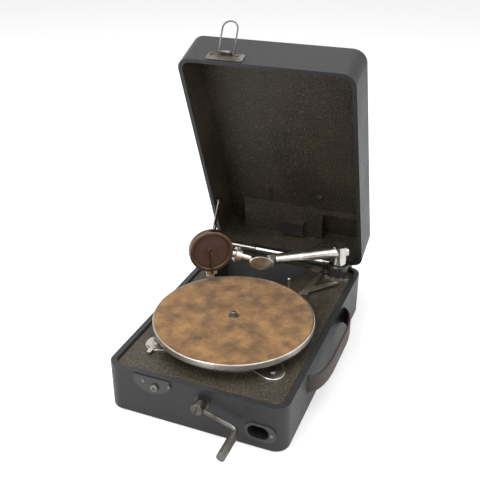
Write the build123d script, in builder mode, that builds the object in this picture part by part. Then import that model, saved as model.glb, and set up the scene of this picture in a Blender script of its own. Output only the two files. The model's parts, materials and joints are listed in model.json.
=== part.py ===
from build123d import *
from math import atan2, cos, degrees, hypot, pi, radians, sin, sqrt
import os

os.makedirs("parts", exist_ok=True)

# Suitcase gramophone. Origin at the centre of the case's footprint on the table.
# +Z up, -Y the front wall with crank and lock, +X the handle side, +Y the hinges. Millimetres.

# Case
case_width = 254.0
case_depth = 378.0
case_height = 70.7
case_corner_radius = 19.5
case_wall = 9.5
case_ledge = 2.5
case_bottom_round = 3.0
rim_step_width = 1.6
rim_step_depth = 1.4
bottom_board_thickness = 6.0
bottom_board_rebate = 4.0
motor_board_thickness = 5.0
motor_board_drop = 2.7

# Lid
lid_height = 60.0
lid_wall = 6.0
lid_top_thickness = 3.5
lid_edge_round = 5.0
lid_open_angle = 68.0
lining_thickness = 0.8

# Clearances
seat_gap = 0.3
running_gap = 0.05
hair_gap = 0.05

# Hinges
hinge_leaf_width = 50.0
hinge_leaf_height = 18.0
hinge_leaf_thickness = 1.2
hinge_knuckle_radius = 2.4
hinge_pin_radius = 1.0
hinge_spacing = 170.0
hinge_segment = 10.0

# Turntable
platter_radius = 114.3
platter_centre_y = -50.4
platter_rim_top = 93.2
platter_rim_depth = 9.5
platter_web_top = 92.0
platter_sheet = 1.5
platter_rim_round = 1.2
felt_radius = 112.2
felt_thickness = 1.5
spindle_radius = 3.57
spindle_seat_radius = 4.4
spindle_top = 101.0
spindle_shaft_radius = 4.0
spindle_foot_radius = 3.0
spindle_foot = 11.0
washer_radius = 7.6
washer_thickness = 0.8
platter_hub_radius = 14.0
platter_hub_depth = 6.0

# Motor
motor_opening_radius = 88.0
motor_plate_radius = 96.0
motor_plate_thickness = 3.0
front_ear_x = 85.0
front_ear_y = -122.0
rear_ear_y = 54.0
ear_radius = 16.0
ear_root_radius = 24.0
ear_root_share = 0.75
motor_pillar_radius = 4.5
motor_pillar_circle = 78.0
motor_bottom_z = 14.0
motor_bottom_thickness = 2.5
motor_bottom_radius = 85.0
barrel_radius = 30.0
barrel_height = 19.0
barrel_wall = 1.6
barrel_arbor_radius = 4.0
great_wheel_teeth = 54
great_wheel_module = 1.25
mid_pinion_teeth = 12
mid_wheel_teeth = 48
mid_wheel_module = 1.0
spindle_pinion_teeth = 12
wheel_thickness = 3.0
mid_arbor_radius = 2.5
worm_wheel_radius = 10.0
worm_radius = 4.0
governor_disc_radius = 13.0
governor_weight_radius = 4.5
governor_length = 88.0

# Crank
crank_x = 14.0
crank_z = 50.5
crank_shaft_radius = 4.0
crank_boss_radius = 8.0
crank_boss_length = 12.0
crank_boss_standoff = 6.0
crank_length = 56.5
crank_droop = 18.0
crank_rod_radius = 3.0
crank_bend_radius = 8.0
crank_grip_radius = 5.8
crank_grip_length = 41.0
crank_escutcheon_radius = 10.6
crown_radius = 13.0
bevel_radius = 7.0

# Front wall fittings
lock_x = -53.4
lock_z = 54.0
lock_plate_width = 52.5
lock_plate_top = 74.5 - 6.0
lock_plate_low = 43.0
lock_plate_thickness = 1.2
lock_boss_radius = 5.5
lock_boss_length = 4.5
storage_x = 91.0
storage_z = 27.0
storage_length = 29.0
storage_height = 19.0
storage_plate_border = 4.0
storage_tube_depth = 62.0
sheet_metal = 1.2

# Handle
handle_front_y = -99.0
handle_rear_y = 84.0
handle_z = 46.0
handle_width = 27.0
handle_thickness = 4.0
handle_bulge = 18.5
handle_slit_gap = 0.8

# Horn
mouth_left = -105.0
mouth_right = 46.0
mouth_front = 80.0
mouth_rear = 172.0
mouth_knee_x = 12.0
mouth_knee_y = 137.0
horn_floor_z = 20.0
horn_sheet = 1.2
horn_neck_radius = 12.0

# Arm
pillar_x = 95.0
pillar_y = 160.0
arm_z = 112.0
knuckle_x = -11.5
knuckle_y = 83.6
pillar_radius = 11.5
pillar_bore = 10.0
elbow_radius = 12.0
elbow_tube_radius = 10.6
collar_radius = 15.75
collar_height = 20.0
flange_radius = 18.0
flange_thickness = 2.0
tube_root_radius = 10.0
tube_end_radius = 7.8
tube_wall = 1.2
knuckle_reach = 24.0
swivel_ring = 3.0
spigot_length = 10.0
spigot_radius = 5.5
knuckle_radius = 11.5
knuckle_depth = 9.5
oval_length = 41.0
oval_height = 23.6
oval_depth = 11.5
oval_tilt = 18.0
lift_pin_radius = 3.0
neck_start = 13.5
neck_root_radius = 7.0
neck_end_radius = 5.8
neck_knob_radius = 5.9
clamp_radius = 10.8
clamp_length = 9.0
clamp_place = 34.0

# Soundbox, in distances from the knuckle: along the arm, up, and square to the arm
soundbox_reach = 79.0
soundbox_rise = 32.0
soundbox_offset = 8.9
neck_offset = -6.6
soundbox_radius = 33.4
soundbox_ring_width = 6.0
soundbox_back = 8.0
soundbox_back_edge = 4.9
soundbox_seat = 3.5
soundbox_front = 5.8
needle_bar_width = 4.0
needle_bar_thickness = 1.6
needle_block_width = 16.0
needle_block_height = 5.0
needle_chuck_radius = 3.6
needle_chuck_drop = 44.5
needle_bore_radius = 0.8
needle_bore_depth = 7.0
thumb_head_radius = 2.8
thumb_shank_radius = 1.2

# Latch, stay and lid trim, in distances from the hinge (u) and above the rim (w)
latch_x = -57.0
latch_plate_width = 54.0
latch_plate_low = 3.0
latch_plate_high = 20.0
latch_axis_w = 17.0
latch_axis_out = 4.2
latch_wire = 2.6
latch_leg_radius = 1.15
latch_ring_width = 25.0
latch_ring_length = 42.0
latch_ring_tip = 138.0
deflector_left = -92.0
deflector_top_u = 66.0
deflector_low_w = 40.0
deflector_sheet = 1.2
deflector_notch_x = 48.0
deflector_notch_u = 56.0
buffer_width = 39.0
buffer_u = 15.0
buffer_length = 23.0
buffer_height = 9.0
stay_width = 9.0
stay_thickness = 1.6
stay_pin_radius = 2.0
stay_base_y = 110.0
stay_base_rise = 7.0
stay_lid_u = 97.0
stay_lid_w = 8.0

# Deck and small fittings
board_edge_round = 1.0
plate_edge_round = 1.0
needle_cup_x = 58.0
needle_cup_y = 166.0
needle_cup_radius = 8.0
needle_cup_lip = 1.6
needle_cup_depth = 9.0
screw_shank_radius = 1.8
screw_head_radius = 4.0
screw_head_height = 2.2
screw_head_round = 1.6
screw_length = 7.0
screw_slot = 0.9
front_screw_head = 2.6
front_screw_height = 1.0
front_screw_length = 6.0
lock_screw_x = (-70.0, -32.6)
lock_screw_z = 60.5
storage_screw_place = (109.3, 26.9)
deck_pin_radius = 2.0
brake_pivot = (57.0, 42.0)
brake_pad_place = (73.2, 41.6)
brake_neck = (65.0, 88.0)
brake_prong_right = (102.0, 129.0)
brake_prong_left = (70.0, 144.5)
brake_z = 72.0
brake_thickness = 2.0
brake_width = 5.5
brake_hub = 9.0
brake_pad_height = 17.0
trip_pin_place = (33.0, 95.0)
trip_pin_top = 82.0
trip_ball_radius = 2.6
flange_lug_radius = 5.0
flange_lug_distance = 20.5
flange_lug_angles = (-35.0, -145.0, 165.0)
collar_floor = 2.0
collar_lip = 1.5

# Motor details
mainspring_strip = 0.6
mainspring_pitch = 2.2
mainspring_half_turns = 8
arbor_shoulder = 1.2
barrel_end_gap = 1.5
crown_plate = 2.0
crown_teeth = 26
crown_tooth_length = 3.6
crown_tooth_width = 1.4
crown_tooth_height = 1.2
crown_gap = 0.5
bevel_teeth = 12
bevel_tooth = 1.0
bevel_length = 6.0
mid_wheel_z = 44.0
governor_z = 33.5
governor_start_x = -12.0
governor_shaft_radius = 2.5
governor_worm_start = 6.0
worm_length = 12.0
governor_disc_place = 32.0
governor_disc_thickness = 3.0
governor_collar_place = 66.0
governor_weight_circle = 9.5
governor_leaf = 0.8
bracket_thickness = 3.0
governor_bracket_width = 10.0
governor_bracket_foot = 6.0
pad_pivot_out = 34.0
pad_side = 9.0
pad_lever_width = 5.0
pad_length = 6.0
governor_pad_height = 8.0
speed_pivot = (-85.0, -122.0)
speed_disc_radius = 14.0
speed_disc_thickness = 1.6
speed_tab_length = 22.0
speed_tab_width = 6.0

# Crank, arm and soundbox details
crank_boss_round = 1.5
crank_slot = 2.0
crank_slot_depth = 1.5
crank_rivet = 1.6
crank_shaft_inner = 99.0
lock_plate_shoulder = 56.0
lock_plate_shift = -4.5
lock_boss_root = 8.0
lock_boss_round = 1.2
keyhole_radius = 1.3
storage_plate_shift = 3.0
storage_plate_grow = 14.0
horn_draft = 12.0
horn_floor_lift = 25.0
horn_neck_z = 40.0
horn_neck_bend = 15.0
horn_neck_inset = 22.0
platter_lip = 1.6
spindle_tip_chamfer = 1.2
elbow_skirt = 14.0
elbow_socket = 14.0
elbow_mitre = 12.5
knuckle_round = 4.0
cheek_gap = 0.15
swivel_lip = 0.8
lift_pin_length = 6.0
neck_root_offset = 1.0
neck_seat = 1.5
oval_edge = 1.0
clamp_screw_radius = 2.2
clamp_screw_height = 1.6
back_boss_radius = 12.0
soundbox_ring_round = 1.6
diaphragm_place = 2.0
diaphragm_thickness = 1.0
diaphragm_ridges = (26.0, 22.0, 10.0)
diaphragm_ridge_width = 1.2
diaphragm_ridge_height = 0.5
needle_bar_foot = 3.0
needle_bar_over = 4.0
needle_block_depth = 8.0
needle_block_front = 4.6
needle_chuck_rise = 8.0
thumb_shank_length = 3.0
thumb_head_length = 4.0
thumb_grooves = 12
thumb_groove_radius = 0.35

# Handle, hinge, lid and latch details
handle_start = 6.0
handle_shoulder = 34.0
handle_bends = 12.0
handle_inner_depth = 16.0
handle_anchor_radius = 2.5
handle_anchor_over = 3.0
hinge_leaf_drop = 3.0
lining_edge_w = 1.5
deflector_right = 119.0
buffer_left = -22.0
clip_x = -41.0
clip_u = 87.0
clip_width = 3.0
clip_length = 20.0
clip_sheet = 1.0
bracket_x = 44.0
bracket_u = 94.0
bracket_size = 8.0
bracket_drop = 4.0
latch_screw_w = 16.0
latch_screw_x = (-79.0, -41.0)
latch_tongue = 14.0

# Derived places
half_width = case_width / 2
half_depth = case_depth / 2
board_top = case_height - motor_board_drop
board_low = board_top - motor_board_thickness
inner_wall_x = half_width - case_wall
hinge_y = half_depth + hinge_knuckle_radius + seat_gap
hinge_z = case_height + seat_gap / 2
lid_rear_u = hinge_y - half_depth
lid_centre_u = lid_rear_u + half_depth
lid_front_u = lid_rear_u + case_depth
lid_ceiling_w = lid_height - lid_top_thickness
open_rad = radians(lid_open_angle)
lid_plane = Plane(origin=(0, hinge_y, hinge_z), x_dir=(1, 0, 0), z_dir=(0, sin(open_rad), cos(open_rad)))
felt_top = platter_web_top + felt_thickness
spindle_at = Vector(0, platter_centre_y)
pillar_at = Vector(pillar_x, pillar_y, arm_z)
knuckle_at = Vector(knuckle_x, knuckle_y, arm_z)
arm_direction = (knuckle_at - pillar_at).normalized()
arm_length = (knuckle_at - pillar_at).length
arm_side = Vector(-arm_direction.Y, arm_direction.X, 0)
head_plane = Plane(origin=knuckle_at, x_dir=-arm_direction, z_dir=arm_side)
soundbox_at = head_plane.from_local_coords(Vector(-soundbox_reach, soundbox_rise, soundbox_offset))
box_plane = Plane(origin=soundbox_at, x_dir=-arm_direction, z_dir=arm_side)


deflector_low_u = lid_rear_u + lid_wall + lining_thickness + 2 * hair_gap + seat_gap
lining_ceiling_w = lid_ceiling_w - lining_thickness
buffer_right = buffer_left + buffer_width
motor_bottom_top = motor_bottom_z + motor_bottom_thickness
barrel_low = motor_bottom_top + barrel_end_gap
great_wheel_z = barrel_low + barrel_height
crown_z = great_wheel_z + wheel_thickness + crown_gap
ear_places = ((front_ear_x, front_ear_y), (-front_ear_x, front_ear_y), (0.0, rear_ear_y))
deck_screw_ears = ((front_ear_x, front_ear_y), (0.0, rear_ear_y))
platter_bore = spindle_seat_radius + hair_gap
collar_low = board_top + flange_thickness
collar_top = collar_low + collar_height
tube_end = knuckle_reach + swivel_ring

# The barrel stands under the crank's line, and the middle arbor where both its meshes close
barrel_to_spindle = great_wheel_module * great_wheel_teeth / 2 + worm_wheel_radius + 0.4
barrel_at = Vector(crank_x, platter_centre_y - sqrt(barrel_to_spindle**2 - crank_x**2))
great_mesh = great_wheel_module * (great_wheel_teeth + mid_pinion_teeth) / 2
spindle_mesh = mid_wheel_module * (mid_wheel_teeth + spindle_pinion_teeth) / 2
to_spindle = (spindle_at - barrel_at).normalized()
mesh_along = (great_mesh**2 - spindle_mesh**2 + barrel_to_spindle**2) / (2 * barrel_to_spindle)
mesh_aside = sqrt(great_mesh**2 - mesh_along**2)
mid_at = barrel_at + to_spindle * mesh_along + Vector(-to_spindle.Y, to_spindle.X) * mesh_aside


def heading(start, end):
    """The angle of a line from start to end in plan, in degrees."""
    return degrees(atan2(end.Y - start.Y, end.X - start.X))


mid_pinion_phase = heading(mid_at, barrel_at)
great_wheel_phase = heading(barrel_at, mid_at) + 180 / great_wheel_teeth
spindle_phase = heading(spindle_at, mid_at)
mid_wheel_phase = heading(mid_at, spindle_at) + 180 / mid_wheel_teeth
governor_y = platter_centre_y + worm_wheel_radius + worm_radius + seat_gap
governor_plane = Plane(origin=(governor_start_x, governor_y, governor_z), x_dir=(0, 1, 0), z_dir=(1, 0, 0))
pad_face_x = governor_start_x + governor_disc_place - seat_gap
pad_pivot_x = pad_face_x - pad_length / 2 - pad_lever_width / 2
pad_pivot_y = governor_y + pad_pivot_out
pad_y = governor_y + pad_side
crank_plane = Plane(
    origin=(crank_x, -half_depth - crank_boss_standoff, crank_z), x_dir=(1, 0, 0), z_dir=(0, -1, 0)
)
crank_arm_y = -half_depth - crank_boss_standoff - crank_boss_length / 2
crank_hub_point = Vector(crank_x, crank_arm_y, crank_z)
crank_reach = Vector(cos(radians(crank_droop)), 0, -sin(radians(crank_droop)))
crank_turn_point = crank_hub_point + crank_reach * crank_length
crank_rod_end = crank_turn_point + Vector(0, -(crank_bend_radius + 2 + crank_grip_length + seat_gap), 0)
handle_inner_x = half_width - handle_inner_depth
stay_base_z = board_top + stay_base_rise
base_knuckles = (-2 * hinge_segment, 0.0, 2 * hinge_segment)
lid_knuckles = (-hinge_segment, hinge_segment)
flange_screw_places = tuple(
    (
        pillar_x + flange_lug_distance * cos(radians(angle)),
        pillar_y + flange_lug_distance * sin(radians(angle)),
    )
    for angle in flange_lug_angles
)
lock_screw_places = tuple((place, lock_screw_z) for place in lock_screw_x)
deck_screw_places = (*ear_places, *flange_screw_places)
deck_screws = (
    *[(ear_x, ear_y, board_top + motor_plate_thickness) for ear_x, ear_y in deck_screw_ears],
    *[(lug_x, lug_y, board_top + flange_thickness) for lug_x, lug_y in flange_screw_places],
)
front_screws = (
    *[(screw_x, screw_z, lock_plate_thickness) for screw_x, screw_z in lock_screw_places],
    (*storage_screw_place, sheet_metal),
)
thumb_plane = Plane(
    origin=soundbox_at - Vector(0, 0, needle_chuck_drop - 3) + arm_direction * needle_chuck_radius,
    z_dir=-arm_direction,
)

def save(part, label):
    """Name a finished piece and write it."""
    part.label = label
    export_step(part, f"parts/{label}.step")


def lid_point(x, u, w):
    """A place in the open lid: across, from the hinge along the lid, and above its rim plane."""
    return lid_plane.from_local_coords(Vector(x, -u, w))


def lid_level(w):
    """A plane parallel to the lid's rim, w above it, centred on the lid."""
    return lid_plane.offset(w).shift_origin(lid_point(0, lid_centre_u, w))


def along(start, direction, x_dir=None):
    """A plane at start that faces along direction."""
    return Plane(origin=start, x_dir=x_dir, z_dir=direction)


def tooth_form(teeth, module, phase=0.0):
    """Draw a spur wheel: a root disc with narrow trapezoid teeth at even steps."""
    pitch_radius = teeth * module / 2
    root = pitch_radius - 1.15 * module
    tip = pitch_radius + 0.75 * module
    half_root = 0.62 * module
    half_tip = 0.30 * module
    Circle(root)
    with PolarLocations(0, teeth, start_angle=phase):
        Polygon(
            (root * 0.97, -half_root),
            (tip, -half_tip),
            (tip, half_tip),
            (root * 0.97, half_root),
            align=None,
        )


def link(start, start_radius, end, end_radius):
    """Add a flat bar with two round ends to the sketch."""
    with BuildSketch(mode=Mode.PRIVATE) as bar:
        with Locations(start):
            Circle(start_radius)
        with Locations(end):
            Circle(end_radius)
        make_hull()
    add(bar.sketch)


# Case walls: covered wood with a ledge for the motor board and a rebate for the bottom board
with BuildPart() as case_shell:
    with BuildSketch():
        RectangleRounded(case_width, case_depth, case_corner_radius)
    extrude(amount=case_height)
    fillet(case_shell.faces().sort_by(Axis.Z)[0].edges(), case_bottom_round)
    inset = case_wall + case_ledge
    with BuildSketch():
        RectangleRounded(case_width - 2 * inset, case_depth - 2 * inset, case_corner_radius - inset)
    extrude(amount=case_height, mode=Mode.SUBTRACT)
    with BuildSketch(Plane.XY.offset(board_low)):
        RectangleRounded(
            case_width - 2 * case_wall, case_depth - 2 * case_wall, case_corner_radius - case_wall
        )
    extrude(amount=case_height, mode=Mode.SUBTRACT)
    step = case_wall - rim_step_width
    with BuildSketch(Plane.XY.offset(case_height - rim_step_depth)):
        RectangleRounded(case_width - 2 * step, case_depth - 2 * step, case_corner_radius - step)
    extrude(amount=case_height, mode=Mode.SUBTRACT)
    rebate = inset - bottom_board_rebate
    with BuildSketch():
        RectangleRounded(case_width - 2 * rebate, case_depth - 2 * rebate, case_corner_radius - rebate)
    extrude(amount=bottom_board_thickness, mode=Mode.SUBTRACT)
    front = Plane.XZ.offset(half_depth)
    with BuildSketch(front):
        with Locations((crank_x, crank_z)):
            Circle(crank_escutcheon_radius - 4 + hair_gap)
        with Locations((storage_x, storage_z)):
            SlotOverall(storage_length + 2 * sheet_metal + 2 * hair_gap,
                        storage_height + 2 * sheet_metal + 2 * hair_gap)
        with Locations((lock_x, lock_z)):
            Circle(lock_boss_radius + 1)
        with Locations(*lock_screw_places, storage_screw_place):
            Circle(screw_shank_radius + hair_gap)
    extrude(amount=-(inset + 1), mode=Mode.SUBTRACT)
    with BuildSketch(Plane.YZ.offset(half_width + 1)):
        with Locations((handle_front_y, handle_z), (handle_rear_y, handle_z)):
            Rectangle(handle_thickness + 2 * handle_slit_gap, handle_width + 2 * handle_slit_gap)
    extrude(amount=-(inset + 2), mode=Mode.SUBTRACT)
save(case_shell.part, "case_shell")

with BuildPart() as bottom_board:
    border = rebate + seat_gap
    with BuildSketch():
        RectangleRounded(case_width - 2 * border, case_depth - 2 * border, case_corner_radius - border)
    extrude(amount=bottom_board_thickness)
save(bottom_board.part, "bottom_board")

with BuildPart() as motor_board:
    border = case_wall + seat_gap
    with BuildSketch(Plane.XY.offset(board_low)):
        RectangleRounded(case_width - 2 * border, case_depth - 2 * border, case_corner_radius - border)
        with Locations((0, platter_centre_y)):
            Circle(motor_opening_radius, mode=Mode.SUBTRACT)
        with BuildLine():
            Polyline(
                (mouth_left, mouth_front),
                (mouth_knee_x, mouth_front),
                (mouth_right, mouth_knee_y),
                (mouth_right, mouth_rear),
                (mouth_left, mouth_rear),
                close=True,
            )
        make_face(mode=Mode.SUBTRACT)
        with Locations((pillar_x, pillar_y)):
            Circle(horn_neck_radius + seat_gap, mode=Mode.SUBTRACT)
        with Locations((needle_cup_x, needle_cup_y)):
            Circle(needle_cup_radius + hair_gap, mode=Mode.SUBTRACT)
        with Locations(*deck_screw_places):
            Circle(screw_shank_radius + hair_gap, mode=Mode.SUBTRACT)
        with Locations(brake_pivot):
            Circle(deck_pin_radius + running_gap, mode=Mode.SUBTRACT)
        with Locations(trip_pin_place):
            Circle(deck_pin_radius, mode=Mode.SUBTRACT)
    extrude(amount=motor_board_thickness)
    fillet(motor_board.faces().sort_by(Axis.Z)[-1].outer_wire().edges(), board_edge_round)
save(motor_board.part, "motor_board")

# Motor: a lobed bed plate on the board, with pillars and a bottom plate below
with BuildPart() as motor_plate:
    with BuildSketch(Plane.XY.offset(board_top)):
        with Locations((0, platter_centre_y)):
            Circle(motor_plate_radius)
        for ear_x, ear_y in ear_places:
            root_x = ear_x * ear_root_share
            root_y = platter_centre_y + (ear_y - platter_centre_y) * ear_root_share
            link((ear_x, ear_y), ear_radius, (root_x, root_y), ear_root_radius)
        with Locations(*ear_places):
            Circle(screw_shank_radius + hair_gap, mode=Mode.SUBTRACT)
        with Locations(spindle_at):
            Circle(spindle_shaft_radius + running_gap, mode=Mode.SUBTRACT)
        with Locations(barrel_at, mid_at, (pad_pivot_x, pad_pivot_y)):
            Circle(mid_arbor_radius + running_gap, mode=Mode.SUBTRACT)
        with Locations(speed_pivot):
            Circle(deck_pin_radius + running_gap, mode=Mode.SUBTRACT)
    extrude(amount=motor_plate_thickness)
    fillet(motor_plate.faces().sort_by(Axis.Z)[-1].outer_wire().edges(), plate_edge_round)
save(motor_plate.part, "motor_plate")

with BuildPart() as motor_pillars:
    with BuildSketch(Plane.XY.offset(motor_bottom_top)):
        with Locations((0, platter_centre_y)):
            with PolarLocations(motor_pillar_circle, 3, start_angle=90):
                Circle(motor_pillar_radius)
    extrude(amount=board_top - motor_bottom_top)
save(motor_pillars.part, "motor_pillars")

with BuildPart() as motor_bottom_plate:
    with BuildSketch(Plane.XY.offset(motor_bottom_z)):
        with Locations((0, platter_centre_y)):
            Circle(motor_bottom_radius)
            with PolarLocations(motor_bottom_radius * 0.62, 3, start_angle=150):
                SlotOverall(34, 14, rotation=90, mode=Mode.SUBTRACT)
        with Locations(spindle_at):
            Circle(spindle_foot_radius + running_gap, mode=Mode.SUBTRACT)
        with Locations(barrel_at, mid_at):
            Circle(mid_arbor_radius + running_gap, mode=Mode.SUBTRACT)
    extrude(amount=motor_bottom_thickness)
save(motor_bottom_plate.part, "motor_bottom_plate")

with BuildPart() as spring_barrel:
    with BuildSketch(Plane.XY.offset(barrel_low)):
        with Locations(barrel_at):
            Circle(barrel_radius)
    extrude(amount=barrel_height)
    with BuildSketch(Plane.XY.offset(barrel_low + barrel_wall)):
        with Locations(barrel_at):
            Circle(barrel_radius - barrel_wall)
    extrude(amount=barrel_height - barrel_wall, mode=Mode.SUBTRACT)
    with BuildSketch(Plane.XY.offset(great_wheel_z)):
        with Locations(barrel_at):
            tooth_form(great_wheel_teeth, great_wheel_module, phase=great_wheel_phase)
    extrude(amount=wheel_thickness)
    with BuildSketch(Plane.XY.offset(barrel_low)):
        with Locations(barrel_at):
            Circle(barrel_arbor_radius + running_gap)
    extrude(amount=barrel_height + wheel_thickness, mode=Mode.SUBTRACT)
save(spring_barrel.part, "spring_barrel")

# The mainspring lies let down, as a spiral of half turns against the barrel wall
with BuildPart() as mainspring:
    with BuildSketch(Plane.XY.offset(barrel_low + barrel_wall + seat_gap)):
        with BuildLine():
            reach = barrel_radius - barrel_wall - mainspring_strip
            side = 1
            start = Vector(barrel_at.X + reach, barrel_at.Y)
            for _ in range(mainspring_half_turns):
                next_reach = reach - mainspring_pitch / 2
                end = Vector(barrel_at.X - side * next_reach, barrel_at.Y)
                middle_x = (start.X + end.X) / 2
                middle = Vector(middle_x, barrel_at.Y + side * abs(start.X - end.X) / 2)
                ThreePointArc(start, middle, end)
                start = end
                reach = next_reach
                side = -side
        trace(line_width=mainspring_strip)
    extrude(amount=barrel_height - barrel_wall - 2 * seat_gap)
save(mainspring.part, "mainspring")

with BuildPart() as barrel_arbor:
    with BuildSketch(Plane.XY.offset(barrel_low - arbor_shoulder)):
        with Locations(barrel_at):
            Circle(barrel_arbor_radius)
    extrude(amount=crown_z - barrel_low + arbor_shoulder)
    with BuildSketch(Plane.XY.offset(motor_bottom_z)):
        with Locations(barrel_at):
            Circle(mid_arbor_radius)
    extrude(amount=board_top + motor_plate_thickness - motor_bottom_z)
    with BuildSketch(Plane.XY.offset(crown_z)):
        with Locations(barrel_at):
            Circle(crown_radius)
    extrude(amount=crown_plate)
    with BuildSketch(Plane.XY.offset(crown_z + crown_plate)):
        with Locations(barrel_at):
            with PolarLocations(crown_radius - crown_tooth_length / 2, crown_teeth):
                Rectangle(crown_tooth_length, crown_tooth_width)
    extrude(amount=crown_tooth_height)
save(barrel_arbor.part, "barrel_arbor")

with BuildPart() as mid_wheel:
    with BuildSketch(Plane.XY.offset(motor_bottom_z)):
        with Locations(mid_at):
            Circle(mid_arbor_radius)
    extrude(amount=board_top + motor_plate_thickness - motor_bottom_z)
    with BuildSketch(Plane.XY.offset(great_wheel_z - 0.5)):
        with Locations(mid_at):
            tooth_form(mid_pinion_teeth, great_wheel_module, phase=mid_pinion_phase)
    extrude(amount=wheel_thickness + 1)
    with BuildSketch(Plane.XY.offset(mid_wheel_z)):
        with Locations(mid_at):
            tooth_form(mid_wheel_teeth, mid_wheel_module, phase=mid_wheel_phase)
    extrude(amount=wheel_thickness)
save(mid_wheel.part, "mid_wheel")

with BuildPart() as governor_shaft:
    with BuildSketch(governor_plane):
        Circle(governor_shaft_radius)
    extrude(amount=governor_length)
    with BuildSketch(governor_plane.offset(governor_worm_start)):
        Circle(worm_radius)
    extrude(amount=worm_length)
    with BuildSketch(governor_plane.offset(governor_disc_place)):
        Circle(governor_disc_radius)
    extrude(amount=governor_disc_thickness)
    with BuildSketch(governor_plane.offset(governor_collar_place)):
        Circle(worm_radius)
    extrude(amount=governor_disc_thickness)
save(governor_shaft.part, "governor_shaft")

with BuildPart() as governor_weights:
    weight_middle = (governor_disc_place + governor_disc_thickness + governor_collar_place) / 2
    with BuildSketch(governor_plane.offset(weight_middle - governor_weight_radius / 2)):
        with PolarLocations(governor_weight_circle, 3):
            Circle(governor_weight_radius)
    extrude(amount=governor_weight_radius)
    leaf_span = governor_collar_place - governor_disc_place - governor_disc_thickness
    with BuildSketch(governor_plane.offset(governor_disc_place + governor_disc_thickness)):
        with PolarLocations(governor_weight_circle - governor_weight_radius, 3):
            Rectangle(governor_leaf, governor_weight_radius)
    extrude(amount=leaf_span)
save(governor_weights.part, "governor_weights")

with BuildPart() as governor_brackets:
    for place in (0, governor_length - bracket_thickness):
        with BuildSketch(governor_plane.offset(place)):
            with Locations((0, (board_top - governor_z) / 2 - governor_bracket_foot / 2)):
                Rectangle(governor_bracket_width, board_top - governor_z + governor_bracket_foot)
            Circle(governor_shaft_radius + running_gap, mode=Mode.SUBTRACT)
        extrude(amount=bracket_thickness)
save(governor_brackets.part, "governor_brackets")

with BuildPart() as governor_pad:
    with BuildSketch(Plane.XY.offset(governor_z - governor_pad_height / 2)):
        with Locations((pad_pivot_x, pad_pivot_y)):
            Circle(governor_pad_height / 2)
        with Locations((pad_pivot_x, (pad_pivot_y + pad_y) / 2)):
            Rectangle(pad_lever_width, pad_pivot_y - pad_y)
        with Locations((pad_face_x - pad_length / 2, pad_y)):
            Rectangle(pad_length, governor_pad_height)
    extrude(amount=governor_pad_height)
    with BuildSketch(Plane.XY.offset(governor_z)):
        with Locations((pad_pivot_x, pad_pivot_y)):
            Circle(mid_arbor_radius)
    extrude(amount=board_top + motor_plate_thickness - governor_z)
save(governor_pad.part, "governor_pad")

# Horn: a sheet metal neck from the arm runs under the board into the open bowl behind the turntable
def mouth_outline(grow, draft=0.0, lift=0.0):
    """Draw the mouth's outline, grown by the sheet and drawn in towards the bowl's floor."""
    left = mouth_left - grow + draft
    right = mouth_right + grow - draft
    front_edge = mouth_front - grow + draft
    rear_edge = mouth_rear + grow - lift
    with BuildLine() as outline:
        Polyline(
            (left, front_edge),
            (mouth_knee_x + grow - draft / 2, front_edge),
            (right, mouth_knee_y - draft),
            (right, rear_edge),
            (left, rear_edge),
            close=True,
        )
    make_face(outline.edges())


with BuildPart() as horn_duct:
    neck_top = board_top - seat_gap
    for shrink, mode in ((0.0, Mode.ADD), (horn_sheet, Mode.SUBTRACT)):
        with BuildSketch(Plane.XY.offset(board_low)):
            mouth_outline(horn_sheet - shrink)
        with BuildSketch(Plane.XY.offset(horn_floor_z + shrink)):
            mouth_outline(horn_sheet - shrink, draft=horn_draft, lift=horn_floor_lift)
        loft(ruled=True, mode=mode)
        with BuildLine() as neck_path:
            FilletPolyline(
                (pillar_x, pillar_y, neck_top),
                (pillar_x, pillar_y, horn_neck_z),
                (mouth_right - 2 * horn_draft, mouth_rear - horn_neck_inset, horn_neck_z),
                radius=horn_neck_bend,
            )
        with BuildSketch(Plane(origin=(pillar_x, pillar_y, neck_top))):
            Circle(horn_neck_radius - shrink)
        sweep(path=neck_path.line, mode=mode)
save(horn_duct.part, "horn_duct")

# Front wall fittings
front = Plane.XZ.offset(half_depth)
with BuildPart() as lock_plate:
    with BuildSketch(front):
        with BuildLine():
            left = lock_x - (lock_plate_width / 2 - lock_plate_shift)
            right = left + lock_plate_width
            Polyline((left, lock_plate_shoulder), (left, lock_plate_top), (right, lock_plate_top),
                     (right, lock_plate_shoulder))
            ThreePointArc(
                (right, lock_plate_shoulder),
                (lock_x, lock_plate_low),
                (left, lock_plate_shoulder),
            )
        make_face()
        with Locations((lock_x, lock_z)):
            Circle(lock_boss_radius + running_gap, mode=Mode.SUBTRACT)
        with Locations(*lock_screw_places):
            Circle(screw_shank_radius + hair_gap, mode=Mode.SUBTRACT)
    extrude(amount=lock_plate_thickness)
save(lock_plate.part, "lock_plate")

with BuildPart() as lock_boss:
    with BuildSketch(front.offset(-lock_boss_root)):
        with Locations((lock_x, lock_z)):
            Circle(lock_boss_radius)
    extrude(amount=lock_boss_root + lock_boss_length)
    with BuildSketch(front.offset(lock_boss_length)):
        with Locations((lock_x, lock_z)):
            Circle(keyhole_radius)
            with Locations((0, -keyhole_radius)):
                Rectangle(keyhole_radius, 3 * keyhole_radius)
    extrude(amount=-lock_boss_length, mode=Mode.SUBTRACT)
    fillet(lock_boss.edges().filter_by(GeomType.CIRCLE).sort_by(Axis.Y)[0], lock_boss_round)
save(lock_boss.part, "lock_boss")

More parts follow.
